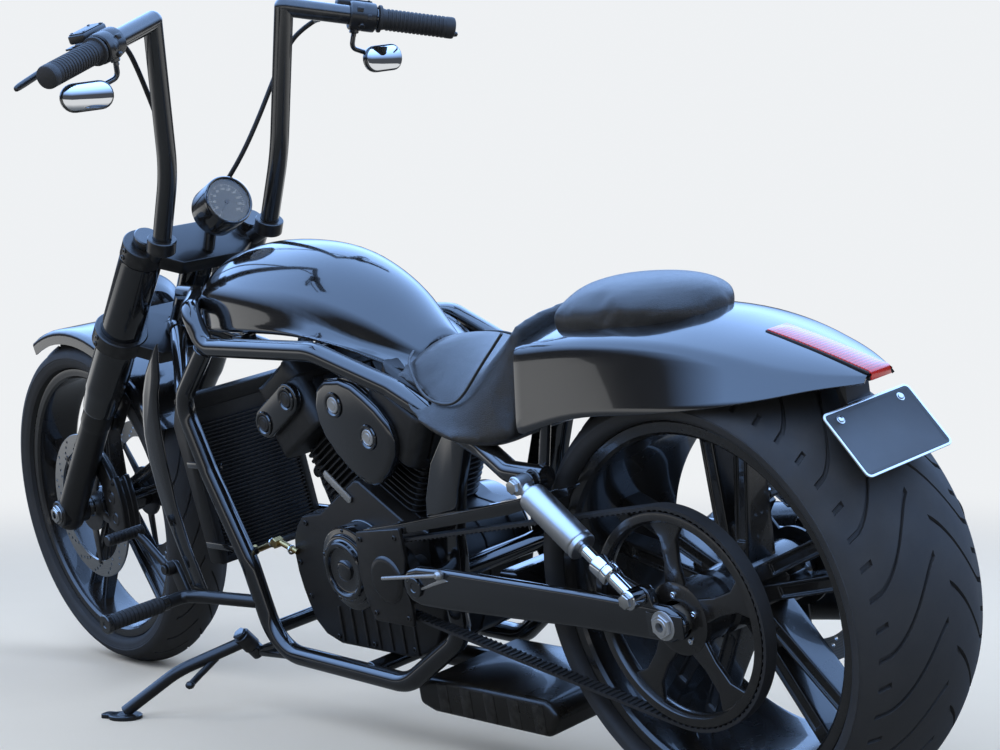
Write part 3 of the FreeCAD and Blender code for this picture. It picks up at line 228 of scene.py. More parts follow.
def pick(test, kind="FACE"):
    # selects by place, and a face's normal or an edge's run, in the mesh that is open in edit mode
    bpy.ops.mesh.select_mode(type=kind)
    bpy.ops.mesh.select_all(action="DESELECT")
    form = bmesh.from_edit_mesh(bpy.context.edit_object.data)
    if kind == "FACE":
        spots = [(face, face.calc_center_median(), face.normal) for face in form.faces]
    elif kind == "EDGE":
        spots = [(edge, (edge.verts[0].co + edge.verts[1].co) / 2, edge.verts[0].co - edge.verts[1].co)
                 for edge in form.edges]
    else:
        spots = [(corner, corner.co, corner.normal) for corner in form.verts]
    chosen = [item for item, place, way in spots if test(place, way)]
    for item in chosen:
        item.select_set(True)
    form.select_flush_mode()
    bmesh.update_edit_mesh(bpy.context.edit_object.data)
    return len(chosen)


def insetPicked(piece, test, *steps):
    # the picked faces are inset one step after another, each by a thickness and a depth
    openMesh(piece)
    pick(test)
    for thickness, depth in steps:
        bpy.ops.mesh.inset(thickness=thickness, depth=depth)
    closeMesh()


def boxOf(size, name="box"):
    # a cube brought to its size in metres
    bpy.ops.mesh.primitive_cube_add(size=1)
    box = bpy.context.object
    box.name = name
    box.data.transform(Matrix.Diagonal((*size, 1)))
    return box


def emptyMesh(name):
    # an object with nothing in it yet, open in edit mode
    startFresh()
    bpy.ops.mesh.primitive_plane_add(size=0.001, location=(0, 0, 0))
    body = bpy.context.object
    body.name = name
    bpy.ops.object.mode_set(mode="EDIT")
    bpy.ops.mesh.select_all(action="SELECT")
    bpy.ops.mesh.delete(type="VERT")
    return body


def drawRing(points):
    # one cross-section drawn point by point into the open mesh
    bpy.ops.mesh.select_mode(type="VERT")
    bpy.ops.mesh.select_all(action="DESELECT")
    bpy.ops.mesh.primitive_plane_add(size=0.001, location=(0, 0, 0))
    bpy.ops.mesh.merge(type="CENTER")
    bpy.ops.transform.translate(value=points[0])
    for last, point in zip(points, points[1:]):
        bpy.ops.mesh.extrude_vertices_move(TRANSFORM_OT_translate={"value": point - last})


def drawChain(points, closed=False, name="chain"):
    # a line of edges, the start of a spin or an extrusion
    chain = emptyMesh(name)
    drawRing(points)
    bpy.ops.mesh.select_all(action="SELECT")
    if closed:
        bpy.ops.mesh.edge_face_add()
    return chain


def latheAbout(profile, centre, axis="Y", steps=96, name="lathe"):
    # profile in (radius, along) millimetres, spun right round the axis through centre
    centre = Vector(centre)
    radial = Vector((1, 0, 0)) if axis == "Z" else Vector((0, 0, 1))
    along = {"X": Vector((1, 0, 0)), "Y": Vector((0, 1, 0)), "Z": Vector((0, 0, 1))}[axis]
    turned = drawChain([centre + radial * (r / 1000) + along * (a / 1000) for r, a in profile], name=name)
    bpy.ops.mesh.spin(steps=steps, angle=2 * math.pi, center=centre, axis=along)
    facesOut(merge=True)
    return turned


def aimed(piece, start, direction):
    # a piece modelled along +Z from the origin is turned and moved to start, pointing along direction
    turn = Vector(direction).normalized().to_track_quat("Z", "Y").to_matrix().to_4x4()
    piece.data.transform(Matrix.Translation(Vector(start)) @ turn)
    return piece


def turnedPiece(profile, start, direction, steps=48, name="turned"):
    return aimed(latheAbout(profile, (0, 0, 0), "Z", steps, name), start, direction)


def extruded(points, move, name):
    # a flat outline pulled straight out into a closed plate
    plate = drawChain(points, closed=True, name=name)
    bpy.ops.mesh.extrude_region_move(TRANSFORM_OT_translate={"value": move})
    facesOut()
    return plate


def slab(outline, low, high, name="slab", bevel=0.0, segments=2):
    # outline in (x, z) millimetres, extruded from y = low to y = high
    plate = extruded([mm(x, low, z) for x, z in outline], mm(0, high - low, 0), name)
    if bevel:
        bevelEdges(plate, bevel / 1000, segments)
    return plate


def arcPoints(centre, radius, fromDeg, toDeg, count):
    angles = [(fromDeg + (toDeg - fromDeg) * i / (count - 1)) * degree for i in range(count)]
    return [(centre[0] + radius * math.cos(a), centre[1] + radius * math.sin(a)) for a in angles]


def roundedPlate(width, depth, corner, low, high, name, bevel=0.0, cuts=5):
    # rounded rectangle in X and Y, between two heights
    points = []
    for cx, cy, start in ((1, 1, 0), (-1, 1, 90), (-1, -1, 180), (1, -1, 270)):
        middle = (cx * (width / 2 - corner), cy * (depth / 2 - corner))
        points += [mm(x, y, low) for x, y in arcPoints(middle, corner, start, start + 90, cuts)]
    sheet = extruded(points, mm(0, 0, high - low), name)
    if bevel:
        bevelEdges(sheet, bevel / 1000, 3, 40)
    return sheet


def bentTube(points, radius, bends, name="tube", resolution=10, ring=6, capped=True):
    # straight runs joined by round bends, as a bender makes them
    points = [Vector(p) for p in points]
    knots = [(points[0], None, points[1])]
    for index in range(1, len(points) - 1):
        corner = points[index]
        back = (points[index - 1] - corner).normalized()
        ahead = (points[index + 1] - corner).normalized()
        half = back.angle(ahead) / 2
        reach = bends[index - 1] / math.tan(half)
        pull = 4 / 3 * math.tan((math.pi - 2 * half) / 4) * bends[index - 1]
        knots.append((corner + back * reach, "in", -back * pull))
        knots.append((corner + ahead * reach, "out", ahead * pull))
    knots.append((points[-1], None, points[-2]))
    startFresh()
    bpy.ops.curve.primitive_bezier_curve_add()
    tube = bpy.context.object
    tube.name = name
    spline = tube.data.splines[0]
    spline.bezier_points.add(len(knots) - 2)
    for index, (knot, (place, kind, pull)) in enumerate(zip(spline.bezier_points, knots)):
        knot.handle_left_type = knot.handle_right_type = "FREE"
        knot.co = place
        before = knots[max(index - 1, 0)][0]
        after = knots[min(index + 1, len(knots) - 1)][0]
        knot.handle_left = place + (before - place) / 3
        knot.handle_right = place + (after - place) / 3
        if kind == "in":
            knot.handle_right = place + pull
        if kind == "out":
            knot.handle_left = place - pull
    tube.data.dimensions = "3D"
    tube.data.resolution_u = resolution
    tube.data.bevel_depth = radius
    tube.data.bevel_resolution = ring
    tube.data.use_fill_caps = capped
    bpy.ops.object.convert(target="MESH")
    tube = bpy.context.object
    tube.location = (0, 0, 0)
    openMesh(tube)
    facesOut(merge=True)
    return tube


def smoothTube(points, radius, name="hose", resolution=12, ring=4):
    # a NURBS line through loose points, for hoses and piping
    startFresh()
    bpy.ops.curve.primitive_nurbs_path_add()
    tube = bpy.context.object
    tube.name = name
    tube.location = (0, 0, 0)
    tube.data.splines.clear()
    line = tube.data.splines.new("NURBS")
    line.points.add(len(points) - 1)
    for knot, place in zip(line.points, points):
        knot.co = (*place, 1)
        knot.radius = radius
    line.order_u = 3
    line.use_endpoint_u = True
    line.resolution_u = resolution
    tube.data.dimensions = "3D"
    tube.data.bevel_depth = 1.0
    tube.data.bevel_resolution = ring
    tube.data.use_fill_caps = True
    return tube


def turnSelected(angle, axis, centre):
    # with no window the rotate operator turns the other way, so the angle is given backwards
    bpy.ops.transform.rotate(value=-angle, orient_axis=axis, center_override=centre)


def bridgeRings(first, second, closed=True):
    # selects the edges of two rings of the open mesh by their middles, and fills what lies between
    middles = set()
    for ring in (first, second):
        pairs = list(zip(ring, ring[1:])) + ([(ring[-1], ring[0])] if closed else [])
        middles |= {tuple(round(v, 5) for v in (a + b) / 2) for a, b in pairs}
    pick(lambda middle, run: tuple(round(v, 5) for v in middle) in middles, "EDGE")
    bpy.ops.mesh.bridge_edge_loops()


def closeRing(spots):
    # an edge or a face between the corners at the given spots
    pick(lambda co, n: min((co - p).length for p in spots) < 1e-6, "VERT")
    bpy.ops.mesh.edge_face_add()


def bridgeSections(sections, name, caps=True, closed=True):
    # cross-sections are drawn one after another and bridged pair by pair
    body = emptyMesh(name)
    for section in sections:
        drawRing(section)
        if closed:
            closeRing([section[0], section[-1]])
    for first, second in zip(sections, sections[1:]):
        bridgeRings(first, second, closed)
    if caps and closed:
        closeRing(sections[0])
        closeRing(sections[-1])
    facesOut()
    return body


def carve(piece, cutter):
    # takes the cutter's shape out of the piece
    chooseOnly(piece)
    cut = piece.modifiers.new("cut", "BOOLEAN")
    cut.operation = "DIFFERENCE"
    cut.object = cutter
    cut.solver = "EXACT"
    bpy.ops.object.modifier_apply(modifier=cut.name)
    bpy.data.objects.remove(cutter)
    return piece


def repeatAbout(piece, centre, axis, count, name):
    # copies of one piece turned about an axis, joined
    centre = Vector(centre)
    around = Matrix.Translation(centre)
    twins = [piece]
    for index in range(1, count):
        turn = around @ Matrix.Rotation(index * 2 * math.pi / count, 4, axis) @ around.inverted()
        twins.append(copyOf(piece, name + str(index), turn))
    return joinAll(twins, name)


axleAt = {"rear": (-872.5, 338), "front": (872.5, 345)}  # x and z in millimetres
rearAxle, frontAxle = (mm(axleAt[end][0], 0, axleAt[end][1]) for end in ("rear", "front"))


# ---- hoses from the bar's controls down to the lower clamp: the part's own route, as a NURBS line
hoseRoute = [
    (0.176574, 0.207480, 1.238595), (0.206, 0.176, 1.222), (0.230, 0.150, 1.186), (0.250, 0.124, 1.130),
    (0.272, 0.098, 1.072), (0.302, 0.074, 1.016), (0.346, 0.056, 0.968), (0.404, 0.047, 0.926),
    (0.468879, 0.045, 0.859484), (0.505972, 0.044, 0.801242), (0.547230, 0.044, 0.744376)]
hoseSize = {"length": 0.667, "diameter": 0.009, "resolution": 12,
            "ferrule": [(0, -1), (6, -1), (6.6, 0), (6.6, 12), (5.6, 13), (5.0, 19), (0, 19)]}


def addHose(side, name):
    route = [Vector((x, side * y, z)) for x, y, z in hoseRoute]
    ends = []
    for start, after in ((route[0], route[1]), (route[-1], route[-2])):
        ends.append(turnedPiece(hoseSize["ferrule"], start, (after - start).normalized(), 24, name + "Ferrule"))
    ends = settle(joinAll(ends, name + "Ferrules"), None, None, 35, body="steering")
    hose = smoothTube([steered @ place for place in route], hoseSize["diameter"] / 2, name,
                      hoseSize["resolution"])
    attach(hose, "steering")
    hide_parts("control_hoses")
    return hose, ends


hoses = [addHose(1, "leftHose"), addHose(-1, "rightHose")]
print("stage: hoses")


# ---- materials: effects that several finishes share are node groups
def fill(tree, node, inputs):
    # each input takes a plain value or another node's output
    for label, value in inputs.items():
        if isinstance(value, bpy.types.NodeSocket):
            tree.links.new(value, node.inputs[label])
        else:
            node.inputs[label].default_value = value
    return node


def addNode(tree, kind, inputs=None, **options):
    node = tree.nodes.new("ShaderNode" + kind)
    for option, value in options.items():
        setattr(node, option, value)
    return fill(tree, node, inputs or {})


def newGroup(name, amount, value, outputs):
    # every effect takes the place on the piece and one number
    group = bpy.data.node_groups.new(name, "ShaderNodeTree")
    group.interface.new_socket(name="Vector", in_out="INPUT", socket_type="NodeSocketVector")
    number = group.interface.new_socket(name=amount, in_out="INPUT", socket_type="NodeSocketFloat")
    number.default_value = value
    for label in outputs:
        group.interface.new_socket(name=label, in_out="OUTPUT", socket_type="NodeSocketFloat")
    entry = group.nodes.new("NodeGroupInput")
    return group, entry.outputs["Vector"], entry.outputs[amount], group.nodes.new("NodeGroupOutput")


def strengthOf(group, first, second, amount):
    # two masks together, as strong as the material asks
    both = addNode(
        group, "Math", {0: first.outputs["Result"], 1: second.outputs["Result"]}, operation="MULTIPLY")
    strength = addNode(
        group, "Math", {0: both.outputs["Value"], 1: amount}, operation="MULTIPLY", use_clamp=True)
    return strength.outputs["Value"]


def fineGrainGroup():
    # cast, moulded and painted surfaces: a small height and a broad change of tone
    group, place, scale, leave = newGroup("fineGrain", "Scale", 400, ("Height", "Tone"))
    small = addNode(group, "TexNoise", {"Vector": place, "Scale": scale, "Detail": 4, "Roughness": 0.6})
    broad = addNode(group, "TexNoise", {"Vector": place, "Scale": 7, "Detail": 5, "Roughness": 0.65})
    fill(group, leave, {"Height": small.outputs["Fac"], "Tone": broad.outputs["Fac"]})
    return group


def roadDustGroup():
    # dust that settles on upward faces and in patches
    group, place, amount, leave = newGroup("roadDust", "Amount", 0.3, ("Mask",))
    patch = addNode(group, "TexNoise", {"Vector": place, "Scale": 16, "Detail": 8, "Roughness": 0.7})
    spread = addNode(group, "MapRange", {"Value": patch.outputs["Fac"], "From Min": 0.38, "From Max": 0.72})
    facing = addNode(group, "SeparateXYZ", {"Vector": addNode(group, "NewGeometry").outputs["Normal"]})
    upward = addNode(group, "MapRange", {"Value": facing.outputs["Z"], "From Min": -0.5, "From Max": 1.0,
                                         "To Min": 0.25})
    fill(group, leave, {"Mask": strengthOf(group, spread, upward, amount)})
    return group


def edgeWearGroup():
    # rubbed edges, broken up so that the line isn't even
    group, place, amount, leave = newGroup("edgeWear", "Amount", 0.3, ("Mask",))
    bend = addNode(group, "NewGeometry").outputs["Pointiness"]
    edge = addNode(group, "MapRange", {"Value": bend, "From Min": 0.52, "From Max": 0.62})
    breaks = addNode(group, "TexNoise", {"Vector": place, "Scale": 90, "Detail": 5})
    gaps = addNode(group, "MapRange", {"Value": breaks.outputs["Fac"], "From Min": 0.42, "From Max": 0.62})
    fill(group, leave, {"Mask": strengthOf(group, edge, gaps, amount)})
    return group


def leatherGrainGroup():
    # small cells with soft creases between them
    group, place, scale, leave = newGroup("leatherGrain", "Scale", 260, ("Height", "Crease"))
    wander = addNode(group, "TexNoise", {"Vector": place, "Scale": 120})
    push = addNode(group, "VectorMath", operation="SCALE")
    fill(group, push, {0: wander.outputs["Color"], "Scale": 0.004})
    shifted = addNode(group, "VectorMath", {0: place, 1: push.outputs["Vector"]}, operation="ADD")
    cells = addNode(group, "TexVoronoi", feature="DISTANCE_TO_EDGE")
    fill(group, cells, {"Vector": shifted.outputs["Vector"], "Scale": scale})
    crease = addNode(group, "MapRange", {"Value": cells.outputs["Distance"], "From Min": 0.0, "From Max": 0.16})
    fill(group, leave, {"Height": crease.outputs["Result"], "Crease": crease.outputs["Result"]})
    return group


fineGrain = fineGrainGroup()
roadDust = roadDustGroup()
edgeWear = edgeWearGroup()
leatherGrain = leatherGrainGroup()

plainLook = {"metal": 0, "coat": 0.0, "wear": 0.0}  # what a finish has unless it says otherwise
finishes = {  # base and second tone, roughness low and high, metal, coat, grain size and depth, dust, wear
    "glossPaint": {"base": (0.0045, 0.005, 0.006), "tint": (0.007, 0.0075, 0.009), "rough": (0.10, 0.17),
                   "coat": 1.0, "grain": 900, "depth": 0.012, "dust": 0.05},
    "satinBlack": {"base": (0.005, 0.005, 0.0055), "tint": (0.009, 0.009, 0.0098), "rough": (0.27, 0.38),
                   "coat": 0.15, "grain": 1400, "depth": 0.03, "dust": 0.08, "wear": 0.14},
    "engineBlack": {"base": (0.0045, 0.0045, 0.005), "tint": (0.009, 0.009, 0.0095), "rough": (0.34, 0.5),
                    "grain": 900, "depth": 0.10, "dust": 0.10, "wear": 0.14},
    "wheelBlack": {"base": (0.0055, 0.0055, 0.006), "tint": (0.009, 0.009, 0.0098), "rough": (0.20, 0.32),
                   "coat": 0.5, "grain": 1000, "depth": 0.02, "dust": 0.16, "wear": 0.1},
    "frameBlack": {"base": (0.006, 0.0063, 0.007), "tint": (0.011, 0.0115, 0.0125), "rough": (0.14, 0.22),
                   "coat": 0.8, "grain": 900, "depth": 0.015, "dust": 0.10, "wear": 0.15},
    "exhaustBlack": {"base": (0.008, 0.008, 0.008), "tint": (0.016, 0.0145, 0.013), "rough": (0.22, 0.36),
                     "metal": 0.3, "coat": 0.2, "grain": 900, "depth": 0.03, "dust": 0.2, "wear": 0.3},
    "shockAlloy": {"base": (0.50, 0.505, 0.51), "tint": (0.60, 0.605, 0.61), "rough": (0.30, 0.42), "metal": 1,
                   "grain": 1300, "depth": 0.02, "dust": 0.1},
    "brightSteel": {"base": (0.56, 0.55, 0.53), "tint": (0.64, 0.63, 0.61), "rough": (0.22, 0.34), "metal": 1,
                    "grain": 1300, "depth": 0.015, "dust": 0.12},
    "chrome": {"base": (0.72, 0.73, 0.75), "tint": (0.80, 0.81, 0.82), "rough": (0.04, 0.10), "metal": 1,
               "grain": 600, "depth": 0.004, "dust": 0.05},
    "plugGrey": {"base": (0.34, 0.35, 0.36), "tint": (0.42, 0.43, 0.44), "rough": (0.34, 0.46), "metal": 0.7,
                 "grain": 1200, "depth": 0.03, "dust": 0.08},
    "tyreRubber": {"base": (0.012, 0.012, 0.0125), "tint": (0.020, 0.020, 0.021), "rough": (0.62, 0.82),
                   "grain": 1300, "depth": 0.10, "dust": 0.24},
    "softRubber": {"base": (0.008, 0.008, 0.0085), "tint": (0.015, 0.015, 0.016), "rough": (0.5, 0.66),
                   "grain": 1600, "depth": 0.06, "dust": 0.16},
    "plateDark": {"base": (0.012, 0.012, 0.013), "tint": (0.022, 0.022, 0.023), "rough": (0.42, 0.54),
                  "grain": 900, "depth": 0.02, "dust": 0.1, "wear": 0.1},
    "plateRim": {"base": (0.62, 0.63, 0.64), "tint": (0.72, 0.73, 0.74), "rough": (0.25, 0.38), "metal": 0.9,
                 "grain": 900, "depth": 0.01, "dust": 0.05},
    "dialGrey": {"base": (0.10, 0.105, 0.11), "tint": (0.13, 0.135, 0.14), "rough": (0.4, 0.5), "metal": 0.3,
                 "grain": 2000, "depth": 0.01, "dust": 0.0},
    "paleInk": {"base": (0.72, 0.73, 0.74), "tint": (0.80, 0.81, 0.82), "rough": (0.5, 0.6),
                "grain": 900, "depth": 0.0, "dust": 0.0},
    "brassFitting": {"base": (0.48, 0.33, 0.13), "tint": (0.55, 0.40, 0.18), "rough": (0.25, 0.38), "metal": 1,
                     "grain": 900, "depth": 0.01, "dust": 0.1}}

# dust and bare metal at worn edges
dustColour = (0.070, 0.064, 0.056)
wearColour = (0.10, 0.10, 0.10)


def newMaterial(name):
    material = bpy.data.materials.new(name)
    material.use_nodes = True
    return material, material.node_tree, material.node_tree.nodes["Principled BSDF"]


def effect(tree, group, place, amount):
    # a shared effect placed in a material, with its own scale or strength
    node = tree.nodes.new("ShaderNodeGroup")
    node.node_tree = group
    return fill(tree, node, {0: place, 1: amount})


def colourMix(tree, factor, first, second):
    ends = [(*value, 1) if isinstance(value, tuple) else value for value in (first, second)]
    mix = addNode(tree, "Mix", data_type="RGBA")
    return fill(tree, mix, {"Factor": factor, 6: ends[0], 7: ends[1]}).outputs[2]


def dusted(tree, place, amount, colour, dust):
    return colourMix(tree, effect(tree, roadDust, place, amount).outputs["Mask"], colour, dust)


def roughBy(tree, tone, low, high):
    # roughness between two values, by a change of tone
    return addNode(tree, "MapRange", {"Value": tone, "To Min": low, "To Max": high}).outputs["Result"]


def relief(tree, height, strength, distance):
    return addNode(tree, "Bump", {
        "Strength": strength, "Distance": distance, "Height": height}).outputs["Normal"]


def finishMaterial(name, look):
    look = {**plainLook, **look}
    material, tree, shader = newMaterial(name)
    place = addNode(tree, "TexCoord").outputs["Object"]
    grain = effect(tree, fineGrain, place, look["grain"])
    colour = colourMix(tree, grain.outputs["Tone"], look["base"], look["tint"])
    if look["wear"]:
        colour = colourMix(
            tree, effect(tree, edgeWear, place, look["wear"]).outputs["Mask"], colour, wearColour)
    if look["dust"]:
        colour = dusted(tree, place, look["dust"], colour, dustColour)
    rough = addNode(tree, "MapRange", {"Value": grain.outputs["Tone"], "From Min": 0.3, "From Max": 0.7,
                                       "To Min": look["rough"][0], "To Max": look["rough"][1]})
    fill(tree, shader, {
        "Base Color": colour, "Roughness": rough.outputs["Result"], "Metallic": look["metal"],
        "Normal": relief(tree, grain.outputs["Height"], 0.6, look["depth"] / 1000), "Coat Weight": look["coat"],
        "Coat Roughness": 0.03, "Coat IOR": 1.5})
    return material


def leatherMaterial(name):
    material, tree, shader = newMaterial(name)
    place = addNode(tree, "TexCoord").outputs["Object"]
    hide = effect(tree, leatherGrain, place, 330)
    grain = effect(tree, fineGrain, place, 40).outputs["Tone"]
    tone = colourMix(tree, grain, (0.0095, 0.0095, 0.010), (0.019, 0.0188, 0.019))
    tone = colourMix(tree, hide.outputs["Crease"], (0.006, 0.006, 0.006), tone)
    fill(tree, shader, {
        "Base Color": dusted(tree, place, 0.10, tone, dustColour),
        "Roughness": roughBy(tree, grain, 0.27, 0.40),
        "Normal": relief(tree, hide.outputs["Height"], 0.55, 0.00035), "Coat Weight": 0.15,
        "Coat Roughness": 0.22, "Sheen Weight": 0.05, "Sheen Roughness": 0.4})
    return material


def clearMaterial(name, colour, roughness):
    material, tree, shader = newMaterial(name)
    grain = effect(tree, fineGrain, addNode(tree, "TexCoord").outputs["Object"], 300).outputs["Tone"]
    fill(tree, shader, {"Base Color": colourMix(tree, grain, colour, tuple(v * 0.86 for v in colour)),
                        "Roughness": roughBy(tree, grain, roughness, roughness + 0.04),
                        "Transmission Weight": 1.0, "IOR": 1.46})
    return material


def lensMaterial(name):
    # deep red moulding with fine upright ribs on its inner face
    material, tree, shader = newMaterial(name)
    place = addNode(tree, "TexCoord").outputs["Object"]
    ribs = addNode(tree, "TexWave", {"Scale": 55, "Distortion": 0, "Vector": place},
                   bands_direction="X").outputs["Fac"]
    fill(tree, shader, {"Base Color": colourMix(tree, ribs, (0.30, 0.006, 0.006), (0.62, 0.016, 0.012)),
                        "Normal": relief(tree, ribs, 0.3, 0.0004), "Roughness": 0.2, "Coat Weight": 1.0,
                        "Coat Roughness": 0.03})
    return material


def discMaterial(name, axle, body):
    # fine turning lines round the axle, from object coordinates brought back to the wheel's own centre
    material, tree, shader = newMaterial(name)
    matrix = (placeOf[body] @ Matrix.Translation(axle)).inverted()
    place = addNode(tree, "Mapping", {"Location": matrix.to_translation(), "Rotation": matrix.to_euler("XYZ"),
                                      "Vector": addNode(tree, "TexCoord").outputs["Object"]}).outputs["Vector"]
    rings = addNode(tree, "TexWave", {"Scale": 90, "Distortion": 1.4, "Detail": 3, "Vector": place},
                    wave_type="RINGS", rings_direction="Y").outputs["Fac"]
    grain = effect(tree, fineGrain, place, 700).outputs["Tone"]
    colour = colourMix(tree, rings, (0.36, 0.36, 0.36), (0.50, 0.50, 0.49))
    fill(tree, shader, {
        "Base Color": dusted(tree, place, 0.2, colour, (0.16, 0.14, 0.12)),
        "Roughness": roughBy(tree, grain, 0.24, 0.42), "Normal": relief(tree, rings, 0.25, 0.0001),
        "Metallic": 1})
    return material


finish = {name: finishMaterial(name, look) for name, look in finishes.items()}
finish["seatLeather"] = leatherMaterial("seatLeather")
finish["clearGlass"] = clearMaterial("clearGlass", (0.93, 0.95, 0.95), 0.02)
finish["redLens"] = lensMaterial("redLens")
finish["frontDisc"] = discMaterial("frontDiscSteel", frontAxle, "steering")
finish["rearDisc"] = discMaterial("rearDiscSteel", rearAxle, "frame")
finish["mirrorGlass"] = finishMaterial("mirrorGlass", {
    **finishes["chrome"], "rough": (0.01, 0.03), "depth": 0.0})
print("stage: materials")


# ---- pale floor, sky-like soft light from above, darker walls low down for the gloss
studio = {
    "background": (0.86, 0.88, 0.90), "zenith": (0.32, 0.54, 1.0), "wall": (0.020, 0.022, 0.026),
    "wallTop": 0.12, "skyFrom": 0.42, "fillLight": (0.88, 0.94, 1.0), "diffuse": 0.62, "sky": 3.8,
    "floor": (0.80, 0.80, 0.79), "floorMirrored": (0.16, 0.17, 0.18), "floorSize": 60, "fadeFrom": 1.7,
    "fadeTo": 5.0, "aim": (0, 0, 0.5)}
lamps = [  # place, size, watts, colour
    ((-1.6, 2.2, 3.2), 2.6, 46, (0.88, 0.94, 1.0)), ((1.8, 2.6, 2.4), 2.0, 30, (1.0, 0.97, 0.93)),
    ((-0.4, -2.6, 2.8), 2.4, 34, (0.92, 0.96, 1.0))]


def addWorld():
    # the camera sees a plain backdrop, gloss sees sky over dark walls, and matt surfaces get an even light
    world = bpy.data.worlds.new("studioWorld")
    scene.world = world
    world.use_nodes = True
    tree = world.node_tree
    tree.nodes.clear()
    rays = addNode(tree, "LightPath").outputs
    seen = addNode(tree, "Background", {"Color": (*studio["background"], 1)})
    lit = addNode(tree, "Background", {"Color": (*studio["fillLight"], 1), "Strength": studio["diffuse"]})
    height = addNode(tree, "SeparateXYZ", {
        "Vector": addNode(tree, "TexCoord").outputs["Generated"]}).outputs["Z"]
    ramp = addNode(tree, "ValToRGB", {"Fac": height})
    low, high = ramp.color_ramp.elements
    low.color, low.position = (*studio["wall"], 1), studio["wallTop"]
    high.color, high.position = (*studio["zenith"], 1), studio["skyFrom"]
    mirrored = addNode(tree, "Background", {"Color": ramp.outputs["Color"], "Strength": studio["sky"]})
    glossMix = addNode(tree, "MixShader", {"Fac": rays["Is Glossy Ray"], 1: lit.outputs["Background"],
                                           2: mirrored.outputs["Background"]})
    direct = addNode(tree, "Math", {0: rays["Is Camera Ray"], 1: rays["Is Transmission Ray"]},
                     operation="MAXIMUM")
    cameraMix = addNode(tree, "MixShader", {"Fac": direct.outputs["Value"], 1: glossMix.outputs["Shader"],
                                            2: seen.outputs["Background"]})
    addNode(tree, "OutputWorld", {"Surface": cameraMix.outputs["Shader"]})


def addFloor():
    # pale paint that fades into the backdrop, and looks dark where gloss mirrors it
    startFresh()
    bpy.ops.mesh.primitive_circle_add(vertices=96, radius=studio["floorSize"] / 2, fill_type="NGON",
                                      location=(0, 0, 0))
    floor = bpy.context.object
    floor.name = "studioFloor"
    material, tree, shader = newMaterial("floorPaint")
    place = addNode(tree, "TexCoord").outputs["Object"]
    grain = effect(tree, fineGrain, place, 60).outputs["Tone"]
    tone = colourMix(tree, grain, studio["floor"], tuple(v * 0.97 for v in studio["floor"]))
    tone = colourMix(tree, addNode(tree, "LightPath").outputs["Is Glossy Ray"], tone, studio["floorMirrored"])
    fill(tree, shader, {"Base Color": tone, "Roughness": 0.85, "Specular IOR Level": 0.1})
    far = addNode(tree, "VectorMath", {0: place}, operation="LENGTH").outputs["Value"]
    fade = addNode(
        tree, "MapRange", {"Value": far, "From Min": studio["fadeFrom"], "From Max": studio["fadeTo"]},
        interpolation_type="SMOOTHERSTEP")
    glow = addNode(tree, "Emission", {"Color": (*studio["background"], 1)})
    blend = addNode(tree, "MixShader", {"Fac": fade.outputs["Result"], 1: shader.outputs["BSDF"],
                                        2: glow.outputs["Emission"]})
    fill(tree, tree.nodes["Material Output"], {"Surface": blend.outputs["Shader"]})
    floor.data.materials.append(material)


def addLamps():
    for index, (place, size, watts, colour) in enumerate(lamps):
        bpy.ops.object.light_add(type="AREA", location=place)
        lamp = bpy.context.object
        lamp.name = "softBox" + str(index)
        lamp.data.shape = "DISK"
        lamp.data.size = size
        lamp.data.energy = watts
        lamp.data.color = colour
        lamp.visible_glossy = False
        lamp.rotation_euler = (Vector(studio["aim"]) - Vector(place)).to_track_quat("-Z", "Y").to_euler()


addWorld()
addFloor()
addLamps()
print("stage: studio")


# ---- tyres: a spun carcass whose columns are swept back, then grooved
tyres = {
    "rearTyre": {
        "centre": rearAxle, "radius": 338, "crown": 190, "crownHalf": 95, "half": 131, "flange": 266,
        "flangeHalf": 114, "shoulderDrop": 16, "shoulderIn": 8, "pitches": 24, "columns": 10, "sweep": 21,
        "grooveFrom": 9, "grooveTo": 106, "dimpleFrom": 97, "depth": 4.5, "lip": 1.3, "seat": 14},
    "frontTyre": {
        "centre": frontAxle, "radius": 345, "crown": 68, "crownHalf": 46, "half": 63, "flange": 282,
        "flangeHalf": 49, "shoulderDrop": 12, "shoulderIn": 1, "pitches": 28, "columns": 8, "sweep": 15,
        "grooveFrom": 6, "grooveTo": 50, "dimpleFrom": 45, "depth": 3.5, "lip": 1.1, "seat": 12}}


def tyreProfile(t):
    # radius and half width, from the crown's middle out and down to the bead
    crownTop = t["radius"] - t["crown"]
    points = []
    rows = 13
    for index in range(rows + 1):
        y = t["crownHalf"] * index / rows
        points.append((crownTop + math.sqrt(t["crown"] ** 2 - y * y), y))
    foot = points[-1]
    low = (t["flange"] + 14, t["half"] - 1)
    middle = (foot[0] - t["shoulderDrop"], t["half"] - t["shoulderIn"])
    for share in (0.25, 0.5, 0.75):  # through the shoulder's middle point
        a = (1 - share) * (1 - 2 * share)
        b = 4 * share * (1 - share)
        c = share * (2 * share - 1)
        points.append((a * foot[0] + b * middle[0] + c * low[0], a * foot[1] + b * middle[1] + c * low[1]))
    points += [
        (low[0] + 8, t["half"] - 0.2), (low[0] + 6.5, t["half"] + 0.0), (low[0] + 5, t["half"] - 0.9), low,
        (t["flange"] + 8, t["half"] - 4), (t["flange"] + 4, t["flangeHalf"] + 7),
        (t["flange"] + 2.6, t["flangeHalf"] + 1), (t["flange"] + 1.4, t["flangeHalf"] - 4.6),
        (t["flange"] - 5, t["flangeHalf"] - 8), (t["flange"] - 11, t["flangeHalf"] - 16)]
    return points


